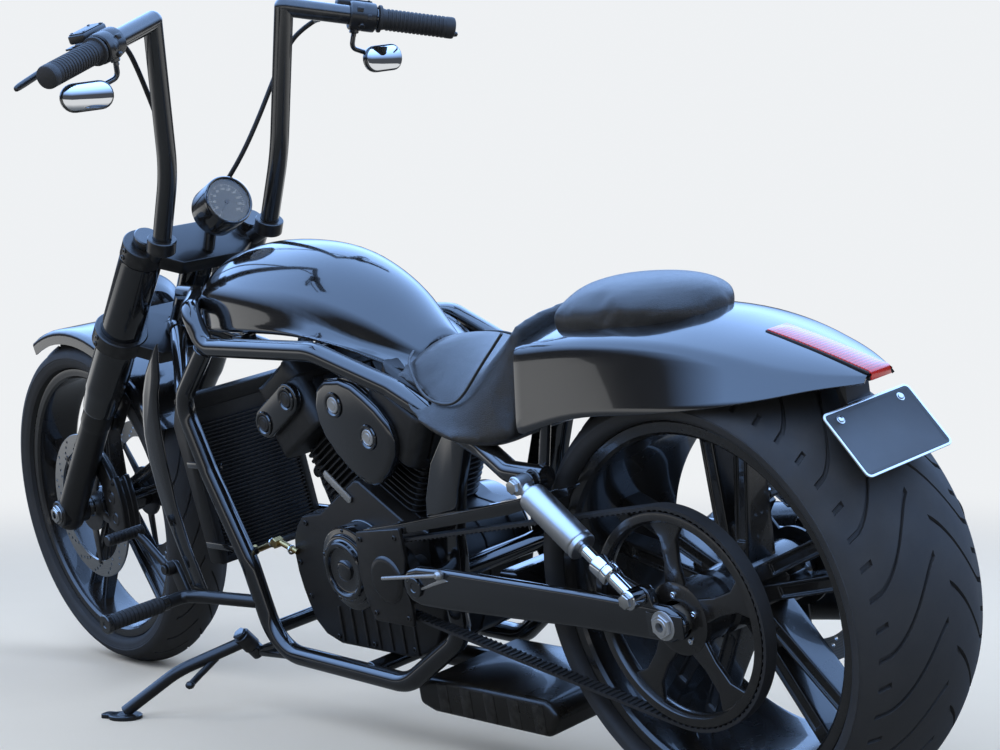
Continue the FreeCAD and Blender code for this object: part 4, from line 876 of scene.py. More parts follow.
def makeTyre(name):
    t = tyres[name]
    left = tyreProfile(t)
    profile = [(r, -y) for r, y in reversed(left[1:])] + left
    profile.append(profile[0])
    tyre = latheAbout(profile, t["centre"], "Y", t["pitches"] * t["columns"], name)
    centre = Vector(t["centre"])
    step = 360 / (t["pitches"] * t["columns"])

    def swept(y):
        share = min(abs(y) * 1000 / t["grooveTo"], 1)
        return t["sweep"] * (0.35 * share + 0.65 * share * share * (3 - 2 * share))

    openMesh(tyre)
    rows = sorted({round(y, 3) for r, y in left if 0 < y < t["grooveTo"]})
    for row in rows:
        pick(lambda co, n: abs(abs(co.y) * 1000 - row) < 0.02
             and (co - centre).length > (t["flange"] + 10) / 1000, "VERT")
        turnSelected(-swept(row / 1000) * degree, "Y", centre)
    pick(lambda co, n: abs(co.y) * 1000 > t["grooveTo"] or math.hypot(co.x - centre.x,
                                                                      co.z - centre.z) * 1000 < t["flange"] + 9,
         "VERT")
    turnSelected(-t["sweep"] * degree, "Y", centre)

    def column(co):
        around = math.degrees(math.atan2(-(co.x - centre.x), co.z - centre.z)) - swept(co.y)
        return math.floor(around / step) % t["columns"]

    def grooved(co, n):
        if math.hypot(co.x - centre.x, co.z - centre.z) * 1000 < t["flange"] + 20:
            return False
        away = abs(co.y) * 1000
        col = column(co) if co.y > 0 else (column(co) + t["columns"] // 2) % t["columns"]
        long = col == 0 and t["grooveFrom"] < away < t["grooveTo"]
        short = col == t["columns"] // 2 and t["dimpleFrom"] < away < t["grooveTo"]
        return long or short

    print(name, "groove faces", pick(grooved))
    bpy.ops.mesh.inset(thickness=t["lip"] / 1000, depth=-t["depth"] / 1000)
    closeMesh()
    return tyre


settle(makeTyre("rearTyre"), "rear_tyre", "tyreRubber")
settle(makeTyre("frontTyre"), "front_tyre", "tyreRubber")
print("stage: tyres")


# ---- wheels: spun rim and hub, split spokes modelled once and turned round
wheels = {
    "rearWheel": {
        "centre": rearAxle, "flange": 266, "half": 114, "well": 60, "seatIn": 14.3, "hub": 46, "hubHalf": 96,
        "count": 5, "atHub": (13, 12, 30), "atRim": (34, 10, 17)},
    "frontWheel": {
        "centre": frontAxle, "flange": 282, "half": 49, "well": 30, "seatIn": 12.3, "hub": 34, "hubHalf": 62,
        "count": 5, "atHub": (8, 7.5, 18), "atRim": (26, 6.5, 10)}}


def makeWheel(name):
    w = wheels[name]
    f, h = w["flange"], w["half"]
    inner = f - 21
    side = [
        (f - 12.3, h - w["seatIn"]), (f - 4, h - 6.3), (f - 0.6, h - 5.2), (f + 0.8, h - 3.2),
        (f + 0.6, h - 1.2), (f - 1, h - 0.1), (f - 4.3, h), (f - 8, h - 0.6), (inner + 6, h - 1.5),
        (inner + 1.5, h - 6), (inner, h - 14), (inner, w["well"])]
    ring = [(f - 12.3, 0)] + side + [(inner - 0.5, 0)]
    ring += [(r, -y) for r, y in reversed(side)] + [(f - 12.3, 0)]
    rim = latheAbout(ring, w["centre"], "Y", 120, name + "Rim")
    hubProfile = [
        (13, w["hubHalf"]), (w["hub"] - 9, w["hubHalf"]), (w["hub"] - 6, w["hubHalf"] - 2),
        (w["hub"] - 5, w["hubHalf"] - 14), (w["hub"], w["hubHalf"] - 20), (w["hub"] + 2, w["hubHalf"] * 0.36),
        (w["hub"] + 2, 0)]
    hub = latheAbout(
        hubProfile + [(r, -y) for r, y in reversed(hubProfile[:-1])] + [hubProfile[0]], w["centre"], "Y", 72,
        name + "Hub")
    (xh, wh, dh), (xr, wr, dr) = w["atHub"], w["atRim"]
    low, high = w["hub"] - 8, inner + 3
    bar = slab([(xh - wh, low), (xh + wh, low), (xr + wr + 3, high), (xr - wr - 1, high)], -dh, dh,
               name + "Spoke")
    openMesh(bar)
    pick(lambda co, n: co.z > high / 1000 - 0.001, "VERT")
    bpy.ops.transform.resize(value=(1, dr / dh, 1), center_override=(0, 0, 0))
    bpy.ops.mesh.select_all(action="SELECT")
    bpy.ops.mesh.subdivide(number_cuts=5)
    pick(lambda co, n: abs(n.y) > 0.9 and low / 1000 + 0.03 < co.z < high / 1000 - 0.018 and
         abs(co.x * 1000 - (xh + (xr - xh) * (co.z * 1000 - low) / (high - low))) < wr * 0.7)
    bpy.ops.mesh.inset(thickness=0.0012, depth=-0.004)
    closeMesh()
    bevelEdges(bar, 0.0028, 3, 40)
    pair = joinAll([bar, copyOf(bar, name + "SpokeTwin", Matrix.Scale(-1, 4, (1, 0, 0)))], name + "Pair")
    web = slab([
        (-xh - 2, low), (xh + 2, low), (xh + 7, low + 46), (0, low + 58), (-xh - 7, low + 46)],
        -dh * 0.7, dh * 0.7, name + "Web", 2)
    pair = joinAll([pair, web], name + "Pair")
    pair.data.transform(Matrix.Translation(w["centre"]))
    spokes = repeatAbout(pair, w["centre"], "Y", w["count"], name + "Spokes")
    return joinAll([rim, hub, spokes], name)


settle(makeWheel("rearWheel"), "rear_wheel", "wheelBlack")
settle(makeWheel("frontWheel"), "front_wheel", "wheelBlack")
print("stage: wheels")


# ---- brake discs with drilled rotors and five carrier arms
discs = {
    "frontDiscLeft": {"centre": frontAxle, "y": 64.8, "radius": 150, "carrier": 52, "bore": 22.5},
    "frontDiscRight": {"centre": frontAxle, "y": -64.8, "radius": 150, "carrier": 52, "bore": 22.5},
    "rearDisc": {"centre": rearAxle, "y": -98.8, "radius": 146, "carrier": 58, "bore": 26.5}}


drill = {"columns": 15, "rowsIn": (8, 15, 22, 29), "twist": 5.2, "radius": 0.0032}


def makeDisc(name):
    d = discs[name]
    centre = Vector(d["centre"]) + mm(0, d["y"], 0)
    outer, inner = d["radius"], d["radius"] - 34
    rotor = latheAbout([(inner, -2.5), (outer - 1, -2.5), (outer, -1.7), (outer, 1.7), (outer - 1, 2.5),
                        (inner, 2.5), (inner, -2.5)], centre, "Y", 96, name + "Rotor")
    cutters = []
    for index in range(drill["columns"]):
        for row, inward in enumerate(drill["rowsIn"]):
            around = (index * 360 / drill["columns"] + row * drill["twist"]) * degree
            spot = centre + Vector((math.sin(around), 0, math.cos(around))) * ((outer - inward) / 1000)
            bpy.ops.mesh.primitive_cylinder_add(vertices=12, radius=drill["radius"], depth=0.02, location=spot,
                                                rotation=(math.pi / 2, 0, 0))
            bpy.ops.object.transform_apply(location=True, rotation=True, scale=True)
            cutters.append(bpy.context.object)
    carve(rotor, joinAll(cutters, name + "Holes"))
    carrier = latheAbout([(d["bore"], -2.5), (d["carrier"], -2.5), (d["carrier"], 2.5), (d["bore"], 2.5),
                          (d["bore"], -2.5)], centre, "Y", 64, name + "Carrier")
    arm = slab([(-11, d["carrier"] - 6), (11, d["carrier"] - 6), (7, inner + 4), (-7, inner + 4)], -2.4, 2.4,
               name + "Arm", 0.8)
    button = latheAbout([(0, 3.6), (5.5, 3.6), (6.5, 3), (6.5, -3), (5.5, -3.6), (0, -3.6)],
                        (0, 0, (inner + 1) / 1000), "Y", 20, name + "Button")
    arm = joinAll([arm, button], name + "Arm")
    arm.data.transform(Matrix.Translation(centre) @ Matrix.Rotation(math.pi / 5, 4, "Y"))
    arms = repeatAbout(arm, centre, "Y", 5, name + "Arms")
    return rotor, joinAll([carrier, arms], name + "Carrier")


for discName in discs:
    rotor, carrier = makeDisc(discName)
    front = discName.startswith("front")
    node = "front_brake_discs" if front else "rear_brake_disc"
    settle(rotor, node, "frontDisc" if front else "rearDisc")
    settle(carrier, node, "satinBlack")
print("stage: discs")


# ---- bodywork sections: a flat foot, upright sides and one arc over the top, as the solids have
def crownArc(crown, shoulder, half, steps):
    # one arc over the top, from the left shoulder to the right one
    rise = crown - shoulder
    radius = (half * half + rise * rise) / (2 * rise)
    middle = crown - radius
    spread = math.atan2(half, shoulder - middle)
    turns = [spread * (1 - 2 * i / steps) for i in range(steps + 1)]
    return [(radius * math.sin(a), middle + radius * math.cos(a)) for a in turns]


def sideLine(row, steps, first):
    # points up the side, from the foot to below the shoulder
    x, crown, shoulder, half, footHalf, foot = row
    return [(footHalf + (half - footHalf) * i / steps, foot + (shoulder - foot) * i / steps)
            for i in range(first, steps)]


def sectionRow(row, arcSteps, sideSteps, corner):
    # closed section with small rounded corners at its foot
    x, crown, shoulder, half, footHalf, foot = row
    left = [(footHalf - corner, foot), (footHalf - corner * 0.25, foot + corner * 0.25),
            (footHalf + (half - footHalf) * 0.02, foot + corner)] + sideLine(row, sideSteps, 1)
    floor = [(-(footHalf - corner) * (1 - 2 * i / 4), foot) for i in range(1, 4)]
    right = [(-y, z) for y, z in reversed(left)]
    return [mm(x, y, z) for y, z in left + crownArc(crown, shoulder, half, arcSteps) + right + floor]


def openSection(row, arcSteps=20, sideSteps=5):
    # the same without a floor, for a shell
    x, crown, shoulder, half, footHalf, foot = row
    side = sideLine(row, sideSteps, 0)
    over = crownArc(crown, shoulder, half, arcSteps)
    return [mm(x, y, z) for y, z in side + over + [(-y, z) for y, z in reversed(side)]]


def flowRows(rows, steps):
    # rows between the named ones, on a smooth curve through them
    out = []
    for index in range(len(rows) - 1):
        a, b, c, d = (
            rows[max(index - 1, 0)], rows[index], rows[index + 1], rows[min(index + 2, len(rows) - 1)])
        for step in range(steps):
            t = step / steps
            row = []
            for p, q, r, s in zip(a, b, c, d):
                value = 0.5 * (2 * q + (r - p) * t + (2 * p - 5 * q + 4 * r - s) * t * t
                               + (3 * q - p - 3 * r + s) * t ** 3)
                row.append(value)
            out.append(tuple(row))
    return out + [rows[-1]]


tank = {
    "rows": (
        (280, 816, 776, 82, 80, 726), (236, 846, 792, 106, 110, 722), (120, 863, 788, 124, 130, 724),
        (-40, 850, 758, 116, 128, 718), (-160, 800, 706, 90, 120, 696), (-240, 736, 676, 62, 98, 666),
        (-280, 700, 660, 46, 84, 650)),
    "steps": 3, "corner": 9}
tankRows = flowRows(tank["rows"], tank["steps"])
tankFront = [(279, 806, 772, 72, 70, 731), (276, 812, 775, 78, 77, 728)]
tankRows = tankFront + [(270, *tankRows[0][1:])] + tankRows[1:]
tankCover = bridgeSections([sectionRow(row, 12, 4, tank["corner"]) for row in tankRows], "tankCover")
tankCover = subdivided(tankCover, 1)
settle(tankCover, "tank_cover", "glossPaint", 50)


# ---- tail: a shell over the tyre, with its rolled lower lip and the light strip let into its spine
tail = {
    "rows": (
        (-596, 728, 706, 130, 150, 580), (-720, 742, 716, 132, 152, 612), (-860, 738, 712, 124, 148, 622),
        (-960, 716, 696, 108, 138, 630), (-1040, 692, 674, 88, 114, 638), (-1096, 673, 660, 62, 74, 643),
        (-1146, 655, 651, 26, 32, 643)),
    "steps": 3, "wall": 4, "lampHalf": 22, "lampFrom": -984, "lampUp": 3.2}


tailRows = flowRows(tail["rows"], tail["steps"])
tailFender = bridgeSections([openSection(row) for row in tailRows], "tailFender", caps=False, closed=False)
openMesh(tailFender)
if pick(lambda co, n: abs(co.y) < 0.02 and co.z > 0.7 and n.z < 0):
    bpy.ops.mesh.select_all(action="SELECT")
    bpy.ops.mesh.flip_normals()
closeMesh()
subdivided(tailFender, 1)
chooseOnly(tailFender)
thick = tailFender.modifiers.new("wall", "SOLIDIFY")
thick.thickness = tail["wall"] / 1000
thick.offset = -1
thick.use_even_offset = True
bpy.ops.object.modifier_apply(modifier=thick.name)
bevelEdges(tailFender, 0.0014, 2, 50)
settle(tailFender, "tail_fender", "glossPaint", 50)


def tailCrown(x):
    for (xa, ca, *_), (xb, cb, *_) in zip(tail["rows"], tail["rows"][1:]):
        if xb <= x <= xa:
            return ca + (cb - ca) * (x - xa) / (xb - xa)
    return tail["rows"][-1][1]


def tailStrip(half, up, fromX, toX, down, name):
    # a strip that follows the spine and turns down over the trailing edge
    xs = [fromX + (toX - fromX) * i / 12 for i in range(13)]
    top = [(x, tailCrown(x) + up) for x in xs] + [(toX - up, tailCrown(toX) + up * 0.2), (toX - up - 0.5, down)]
    low = [(toX + 2, down), (toX + 6, tailCrown(toX) - 3)] + [(x, tailCrown(x) - 2.4) for x in reversed(xs)]
    return slab(top + low, -half, half, name, 1.2, 2)


lampStrip = tailStrip(
    tail["lampHalf"] - 1.6, tail["lampUp"], tail["lampFrom"] - 2, -1146, 644.5, "tailLampLens")
settle(lampStrip, "tail_lamp", "redLens", 35)
lampEdge = tailStrip(tail["lampHalf"] + 0.4, tail["lampUp"] - 1.8, tail["lampFrom"], -1146, 644.2,
                     "tailLampBezel")
settle(lampEdge, "tail_lamp", "softRubber", 35)


# ---- plate: a bare dark plate in a pressed bright rim, with two bolts
plate = {"centre": (-1148, 0, 575), "back": 39, "size": (178, 102)}


def onPlate(piece):
    # modelled flat, X across the plate, Y up it, Z out of its face
    lean = plate["back"] * degree
    across = Vector((0, -1, 0))
    up = Vector((math.sin(lean), 0, math.cos(lean)))
    out = Vector((-math.cos(lean), 0, math.sin(lean)))
    turn = Matrix((across, up, out)).transposed().to_4x4()
    piece.data.transform(Matrix.Translation(mm(*plate["centre"])) @ turn)
    return piece


plateSheet = roundedPlate(plate["size"][0] - 1, plate["size"][1] - 1, 9, -0.8, 0.8, "plateSheet", cuts=6)
insetPicked(plateSheet, lambda co, n: n.z > 0.9, (0.0062, 0), (0.0016, -0.0009))
settle(onPlate(bevelEdges(plateSheet, 0.0003, 2, 30)), "licence_plate", "plateDark", 30)
plateRim = roundedPlate(plate["size"][0] - 0.6, plate["size"][1] - 0.6, 9, -1.3, 1.3, "plateRim", cuts=6)
plateHole = roundedPlate(plate["size"][0] - 7, plate["size"][1] - 7, 6.5, -4.5, 4.5, "plateHole", cuts=6)
settle(
    onPlate(bevelEdges(carve(plateRim, plateHole), 0.0006, 2, 30)), "licence_plate", "plateRim",
    30)
bolts = []
for side in (-1, 1):
    bolt = latheAbout([(0, 2.6), (3.2, 2.4), (4.6, 1.4), (4.8, 0), (6.2, -0.2), (6.2, -1), (0, -1)],
                      mm(side * 62, 36, 0.6), "Z", 20, "plateBolt")
    bolts.append(bolt)
settle(onPlate(joinAll(bolts, "plateBolts")), "licence_plate", "brightSteel", 35)
print("stage: tank, tail and plate")


# ---- seat and pillion pad: leather over foam, cushioned, with the welt added after the swelling
seatPad = {
    "rows": (
        (-286, 704, 688, 62, 112, 668), (-320, 704, 674, 108, 150, 644), (-390, 680, 632, 142, 178, 592),
        (-460, 676, 624, 142, 178, 564), (-524, 714, 680, 134, 172, 560), (-592, 762, 744, 124, 162, 570)),
    "steps": 3, "corner": 12, "cap": 5, "voxel": 0.0055}
pillionPad = {
    "rows": (
        (-640, 778, 752, 100, 96, 706), (-700, 788, 762, 108, 106, 704), (-790, 788, 762, 104, 100, 706),
        (-850, 780, 758, 82, 76, 712), (-888, 766, 750, 40, 34, 718)),
    "steps": 3, "corner": 14, "cap": 6, "voxel": 0.005}


def swell(piece, voxel, cap, pressure=4, tries=20):
    # a pressed, sewn cushion: the cloth is blown up a little and no point moves farther than the cap
    chooseOnly(piece)
    remesh = piece.modifiers.new("even", "REMESH")
    remesh.mode = "VOXEL"
    remesh.voxel_size = voxel
    remesh.use_smooth_shade = True
    bpy.ops.object.modifier_apply(modifier=remesh.name)
    before = [v.co.copy() for v in piece.data.vertices]
    cloth = piece.modifiers.new("swell", "CLOTH")
    cloth.settings.use_pressure = True
    cloth.settings.uniform_pressure_force = pressure
    cloth.settings.effector_weights.gravity = 0
    cloth.settings.quality = 5
    cloth.point_cache.frame_start = 1
    cloth.point_cache.frame_end = tries
    for step in range(1, tries + 1):
        scene.frame_set(step)
    bpy.ops.object.modifier_apply(modifier=cloth.name)
    scene.frame_set(1)
    for vertex, start in zip(piece.data.vertices, before):
        moved = vertex.co - start
        if moved.length > cap / 1000:
            vertex.co = start + moved.normalized() * (cap / 1000)
    calm = piece.modifiers.new("calm", "SMOOTH")
    calm.factor = 0.5
    calm.iterations = 16
    bpy.ops.object.modifier_apply(modifier=calm.name)
    return subdivided(piece, 1)


def padForm(pad, name, shrink):
    rows = []
    for x, crown, shoulder, half, footHalf, foot in flowRows(pad["rows"], pad["steps"]):
        rows.append((
            x, crown - shrink, shoulder - shrink, half - shrink, footHalf - shrink, foot + shrink * 0.4))
    first, last = rows[0], rows[-1]
    front = [(first[0] - 1, first[1] - 7, first[2] - 7, first[3] - 8, first[4] - 8, first[5] + 4)]
    rear = [(last[0] + 1.5, last[1] - 7, last[2] - 7, last[3] - 8, last[4] - 8, last[5] + 4)]
    rows = front + [(first[0] - 7, *first[1:])] + rows[1:-1] + [(last[0] + 7, *last[1:])] + rear
    return bridgeSections([sectionRow(row, 12, 4, pad["corner"]) for row in rows], name)


saddle = padForm(seatPad, "saddle", seatPad["cap"])
railRoom = []
for side in (1, -1):
    railRoom.append(bentTube([mm(-130, 150 * side, 701), mm(-300, 132 * side, 640), mm(-520, 132 * side, 543)],
                             0.0205, [0.11], "railRoom"))
carve(saddle, joinAll(railRoom, "railRoom"))
swell(saddle, seatPad["voxel"], seatPad["cap"])
settle(saddle, "seat", "seatLeather", 60)
pillion = padForm(pillionPad, "pillion", pillionPad["cap"])
swell(pillion, pillionPad["voxel"], pillionPad["cap"])
settle(pillion, "pillion_pad", "seatLeather", 60)


def weltAlong(pad, lift, radius, name, trim=0):
    # piping along the line where the top panel is sewn to the side
    rows = flowRows(pad["rows"], pad["steps"])
    points = [mm(x, half, shoulder + lift) for x, crown, shoulder, half, *low in rows[trim:len(rows) - trim]]
    left = smoothTube(points, radius, name)
    chooseOnly(left)
    bpy.ops.object.convert(target="MESH")
    left = bpy.context.object
    return bothSides(left, name)


settle(weltAlong(seatPad, 0.4, 0.0023, "saddleWelt", trim=1), "seat", "seatLeather", 60)
print("stage: seat and pillion")


# ---- places that the fork, the bar and the engine are set out from, in the upright bike's frame
def onFork(s, side=0.0, ahead=0.0):
    lean = chassis["forkRake"] * degree
    x, z = axleAt["front"]
    return mm(x - math.sin(lean) * s + math.cos(lean) * ahead, side,
              z + math.cos(lean) * s + math.sin(lean) * ahead)


forkUp = (onFork(1) - onFork(0)).normalized()


def onBank(tilt, reach, across=0.0, y=0.0):
    a = tilt * degree
    x, z = engine["crank"]
    return mm(x - math.sin(a) * reach + math.cos(a) * across, y, z + math.cos(a) * reach + math.sin(a) * across)


def bolt(place, direction, size, name="bolt", height=0.55):
    # hex socket cap: a turned head with a six-sided well
    r = size
    head = latheAbout([
        (0, -r * 0.3), (r, -r * 0.3), (r, r * height * 0.8), (r * 0.86, r * height), (r * 0.5, r * height),
        (r * 0.45, r * height * 0.4), (0, r * height * 0.4)], (0, 0, 0), "Z", 18, name)
    return aimed(head, place, direction)


def wireLoop(centre, axis, ringRadius, wire, name, steps=96):
    # a thin round ring
    profile = [(ringRadius + wire * math.cos(a * 45 * degree), wire * math.sin(a * 45 * degree))
               for a in range(9)]
    return aimed(latheAbout(profile, (0, 0, 0), "Z", steps, name), centre, axis)


# ---- fork: satin sliders, gloss covers with a rolled end, clamps with pinch bolts
fork = {
    "half": 110, "cover": 39, "lower": 30, "coverLow": 300, "stanchion": 21, "upper": 712, "lowerClamp": 498,
    "wall": 34}


def forkSide():
    low, top = fork["coverLow"], fork["upper"] - fork["wall"] / 2 - 0.5
    cover = [
        (fork["stanchion"] + 1.5, 0), (fork["lower"] + 1.2, 0), (fork["lower"] + 2.4, 1.5),
        (fork["lower"] + 3.2, 6), (fork["lower"] + 3.8, 12), (fork["cover"] - 1.8, 52),
        (fork["cover"] - 0.4, 60), (fork["cover"], 70),
        (fork["cover"], fork["lowerClamp"] - low - 22),
        (fork["cover"], fork["lowerClamp"] - low + 22), (fork["cover"], top - low - 4),
        (fork["cover"] - 1, top - low - 1), (fork["cover"] - 3, top - low),
        (fork["stanchion"] + 1.5, top - low), (fork["stanchion"] + 1.5, 0)]
    sleeve = turnedPiece(cover, onFork(low, fork["half"]), forkUp, 64, "forkCover")
    lower = [(0, -34), (18, -34), (25, -31), (28.6, -26), (29.6, -18), (30, -8), (30, 20), (29, 26), (28.2, 34),
             (28.2, 250), (29, 258), (30, 262), (30, 292), (29, 297), (26, 299.5), (0, 299.5)]
    slider = turnedPiece(lower, onFork(0, fork["half"]), forkUp, 56, "forkSlider")
    boss = latheAbout([
        (13, 30.2), (25, 30.2), (27, 28), (27, 6), (27, -6), (27, -28), (25, -30.2), (13, -30.2)],
        frontAxle + mm(0, fork["half"], 0), "Y", 40, "axleBoss")
    stem = turnedPiece([(0, 0), (21, 0), (21, 8), (24, 9), (24, 20), (22, 22), (0, 22)],
                       onFork(fork["upper"] + 14, fork["half"]), forkUp, 40, "forkTop")
    return sleeve, joinAll([slider, boss], "forkSlider"), stem


sleeve, slider, forkTop = forkSide()
settle(bothSides(sleeve, "forkCovers"), "fork_covers", "glossPaint")
settle(bothSides(slider, "forkSliders"), "fork_legs", "satinBlack")
settle(bothSides(forkTop, "forkTops"), "fork_legs", "frameBlack")


# ---- bar: one bent tube a side, ribbed grips, switch housings, masters, blade levers and mirrors
bar = {"low": (322, 113, 868), "knee": (246, 115, 1006), "elbow": (184, 133, 1262), "end": (62, 402, 1186),
       "radius": 17, "grip": 130}
barLow, barKnee, barElbow, barEnd = (mm(*bar[key]) for key in ("low", "knee", "elbow", "end"))
armWay = (barEnd - barElbow).normalized()
barAhead = armWay.cross(Vector((0, 0, 1))).normalized()
barAhead = barAhead if barAhead.x > 0 else -barAhead
barOver = armWay.cross(barAhead).normalized()
barOver = barOver if barOver.z > 0 else -barOver


def onBar(inward, ahead=0.0, over=0.0):
    return barEnd - armWay * (inward / 1000) + barAhead * (ahead / 1000) + barOver * (over / 1000)


def barBox(inward, ahead, over, size, bevel, name, segments=3):
    box = bevelEdges(boxOf(mm(*size), name), bevel / 1000, segments)
    turn = Matrix((armWay, barAhead, barOver)).transposed().to_4x4()
    box.data.transform(Matrix.Translation(onBar(inward, ahead, over)) @ turn)
    return box


def handlebarSide():
    start = barLow + (barKnee - barLow).normalized() * 0.002
    upright = bentTube([start, barKnee, barElbow], bar["radius"] / 1000, [0.3], "barUpright", 12, 8)
    arm = turnedPiece([(0, 0), (17, 0), (17, (barEnd - barElbow).length * 1000),
                       (0, (barEnd - barElbow).length * 1000)], barElbow, armWay, 40, "barArm")
    bpy.ops.mesh.primitive_uv_sphere_add(segments=40, ring_count=20, radius=bar["radius"] / 1000 + 0.00005,
                                         location=barElbow)
    elbow = bpy.context.object
    bpy.ops.object.transform_apply(location=True)
    return joinAll([upright, arm, elbow], "handlebarSide")


def gripSide():
    # moulded rubber with raised rings, an inner flange and a rounded end
    length = bar["grip"]
    profile = [(17.4, -6), (19, -6), (24, -5), (24.5, -3.5), (24.5, -1.5), (24, 0), (20, 1.2), (19.2, 4)]
    rings = 15
    for index in range(rings):
        start = 8 + index * (length - 22) / rings
        profile += [(18.2, start), (18.2, start + 2.2), (19.5, start + 3.0),
                    (19.5, start + (length - 22) / rings - 1.0)]
    profile += [(18.4, length - 12), (19.5, length - 10), (19.5, length + 1), (18.6, length + 4),
                (15.5, length + 5.8), (0, length + 6)]
    return turnedPiece(profile, onBar(length), armWay, 48, "grip")


def switchSide():
    housing = turnedPiece([
        (17.3, 0), (23, 0), (25.5, 2), (26, 5), (26, 22), (25.6, 23.4), (25.6, 24.6), (26, 26), (26, 43),
        (25.5, 46), (23, 48), (17.3, 48)], onBar(bar["grip"] + 58), armWay, 48, "switchHousing")
    pieces = [
        housing, barBox(164, 24, 4, (64, 30, 26), 5, "perch"),
        barBox(174, 36, 22, (66, 34, 15.5), 4, "reservoir"),
        barBox(174, 36, 30.4, (60, 28, 1.6), 0.7, "reservoirLid", 2),
        barBox(138, 45, 10.6, (22, 16, 3.4), 1.2, "earHigh", 2),
        barBox(138, 45, -6.6, (22, 16, 3.4), 1.2, "earLow", 2)]
    for along in (150, 198):
        for away in (24, 48):
            pieces.append(bolt(onBar(along, away, 31), barOver, 2.4, "lidScrew"))
    pieces += [
        barBox(172, -20, 10, (12, 12, 10), 2, "rocker"),
        barBox(154, -22, -2, (9, 9, 12), 2, "button"),
        turnedPiece(
            [(0, 0), (5.5, 0), (5.5, 4), (4.6, 5.4), (0, 5.8)], onBar(166, -18, -16), -barAhead - barOver, 20,
            "starter")]
    return joinAll(pieces, "switchSide")


def leverSide():
    # flat blade that follows the grip, wider at the end, round the same line as the solid
    pivot = onBar(bar["grip"] + 38, 45.8, 2)
    bend = onBar(bar["grip"] - 14, 58)
    tip = barEnd + armWay * 0.026 + barAhead * 0.050 - barOver * 0.006
    line = [pivot, pivot.lerp(bend, 0.5), bend, bend.lerp(tip, 0.3), bend.lerp(tip, 0.65), bend.lerp(tip, 0.93),
            tip]
    sizes = [(6.4, 6.2), (6.2, 6), (5.6, 5.6), (4.6, 6.2), (4.2, 6.4), (4.6, 6.4), (3.4, 4.4)]
    rings = []
    for place, (thick, tall) in zip(line, sizes):
        rings.append([place + barAhead * (thick / 1000 * math.cos(a * 30 * degree))
                      + barOver * (tall / 1000 * math.sin(a * 30 * degree)) for a in range(12)])
    blade = subdivided(bridgeSections(rings, "leverBlade"), 1)
    hinge = turnedPiece([(0, 0), (4, 0), (4, 1.4), (6, 1.6), (6, 14), (4, 14.4), (4, 15.6), (0, 15.8)],
                        onBar(bar["grip"] + 8, 46, -5.6), barOver, 20, "leverPin")
    return joinAll([blade, hinge], "leverSide")


mirrorLook = {"centre": (138, 300, 1150), "turn": -8, "half": 22, "radius": 24}


def mirrorRing(x, half, radius):
    # a long oval across the mirror
    right = arcPoints((half, 0), radius, -90, 90, 13)
    left = arcPoints((-half, 0), radius, 90, 270, 13)
    return [mm(x, y, z) for y, z in right + left]


def mirrorSide():
    foot = onBar(bar["grip"] + 46, 0, -26.8)
    knee = foot - barOver * 0.030 + barAhead * 0.006
    low = mm(150, 300, 1152)
    arm = bentTube([foot, knee, low], 0.0045, [0.012], "mirrorArm", 8, 4)
    nut = turnedPiece([
        (0, 0), (8, 0), (9, 1), (9, 7), (8, 8), (5, 9), (5, 14), (0, 14)],
        foot + barOver * 0.004, -barOver, 6, "mirrorNut")
    shape = ((0.0, 0.965), (0.6, 0.99), (1.8, 1.0), (6.5, 0.985), (10.5, 0.92), (13, 0.78), (14, 0.55))
    shell = bridgeSections([mirrorRing(x, mirrorLook["half"] * (0.6 + 0.4 * grow), mirrorLook["radius"] * grow)
                            for x, grow in shape], "mirrorShell")
    glass = bridgeSections([mirrorRing(x, mirrorLook["half"], radius)
                            for x, radius in ((-1.8, 20.2), (-1.5, 20.8), (-0.2, 20.8))], "mirrorGlass")
    place = Matrix.Translation(mm(*mirrorLook["centre"])) @ Matrix.Rotation(mirrorLook["turn"] * degree, 4, "Z")
    shell.data.transform(place)
    glass.data.transform(place)
    return joinAll([shell, arm, nut], "mirrorSide"), glass


settle(bothSides(handlebarSide(), "handlebar"), "handlebar", "frameBlack", 40)
settle(bothSides(gripSide(), "grips"), "grips", "softRubber", 35)
settle(bothSides(switchSide(), "switches"), "bar_controls", "satinBlack")
settle(bothSides(leverSide(), "levers"), "levers", "satinBlack", 45)
mirrorShell, mirrorPane = mirrorSide()
settle(bothSides(mirrorShell, "mirrors"), "mirrors", "glossPaint", 40)
settle(bothSides(mirrorPane, "mirrorPanes"), "mirror_glasses", "mirrorGlass", 30)
print("stage: fork and bar")


# ---- gauge: black shroud and ring, grey dial with ticks, figures and a needle under glass
gauge = {"centre": (250, 0, 941), "tilt": 20, "ticks": 41, "from": 225, "sweep": 270, "face": -0.0118,
         "figureAt": 0.0245, "figureSize": 0.0062}
gaugeOut = Vector((-math.cos(gauge["tilt"] * degree), 0, math.sin(gauge["tilt"] * degree)))
gaugeUp = Vector((math.sin(gauge["tilt"] * degree), 0, math.cos(gauge["tilt"] * degree)))


def onGauge(piece, out=0.0):
    # modelled flat: X to the rider's right, Y up the dial, Z out of it
    turn = Matrix((Vector((0, -1, 0)), gaugeUp, gaugeOut)).transposed().to_4x4()
    piece.data.transform(Matrix.Translation(mm(*gauge["centre"]) + gaugeOut * (out / 1000)) @ turn)
    return piece


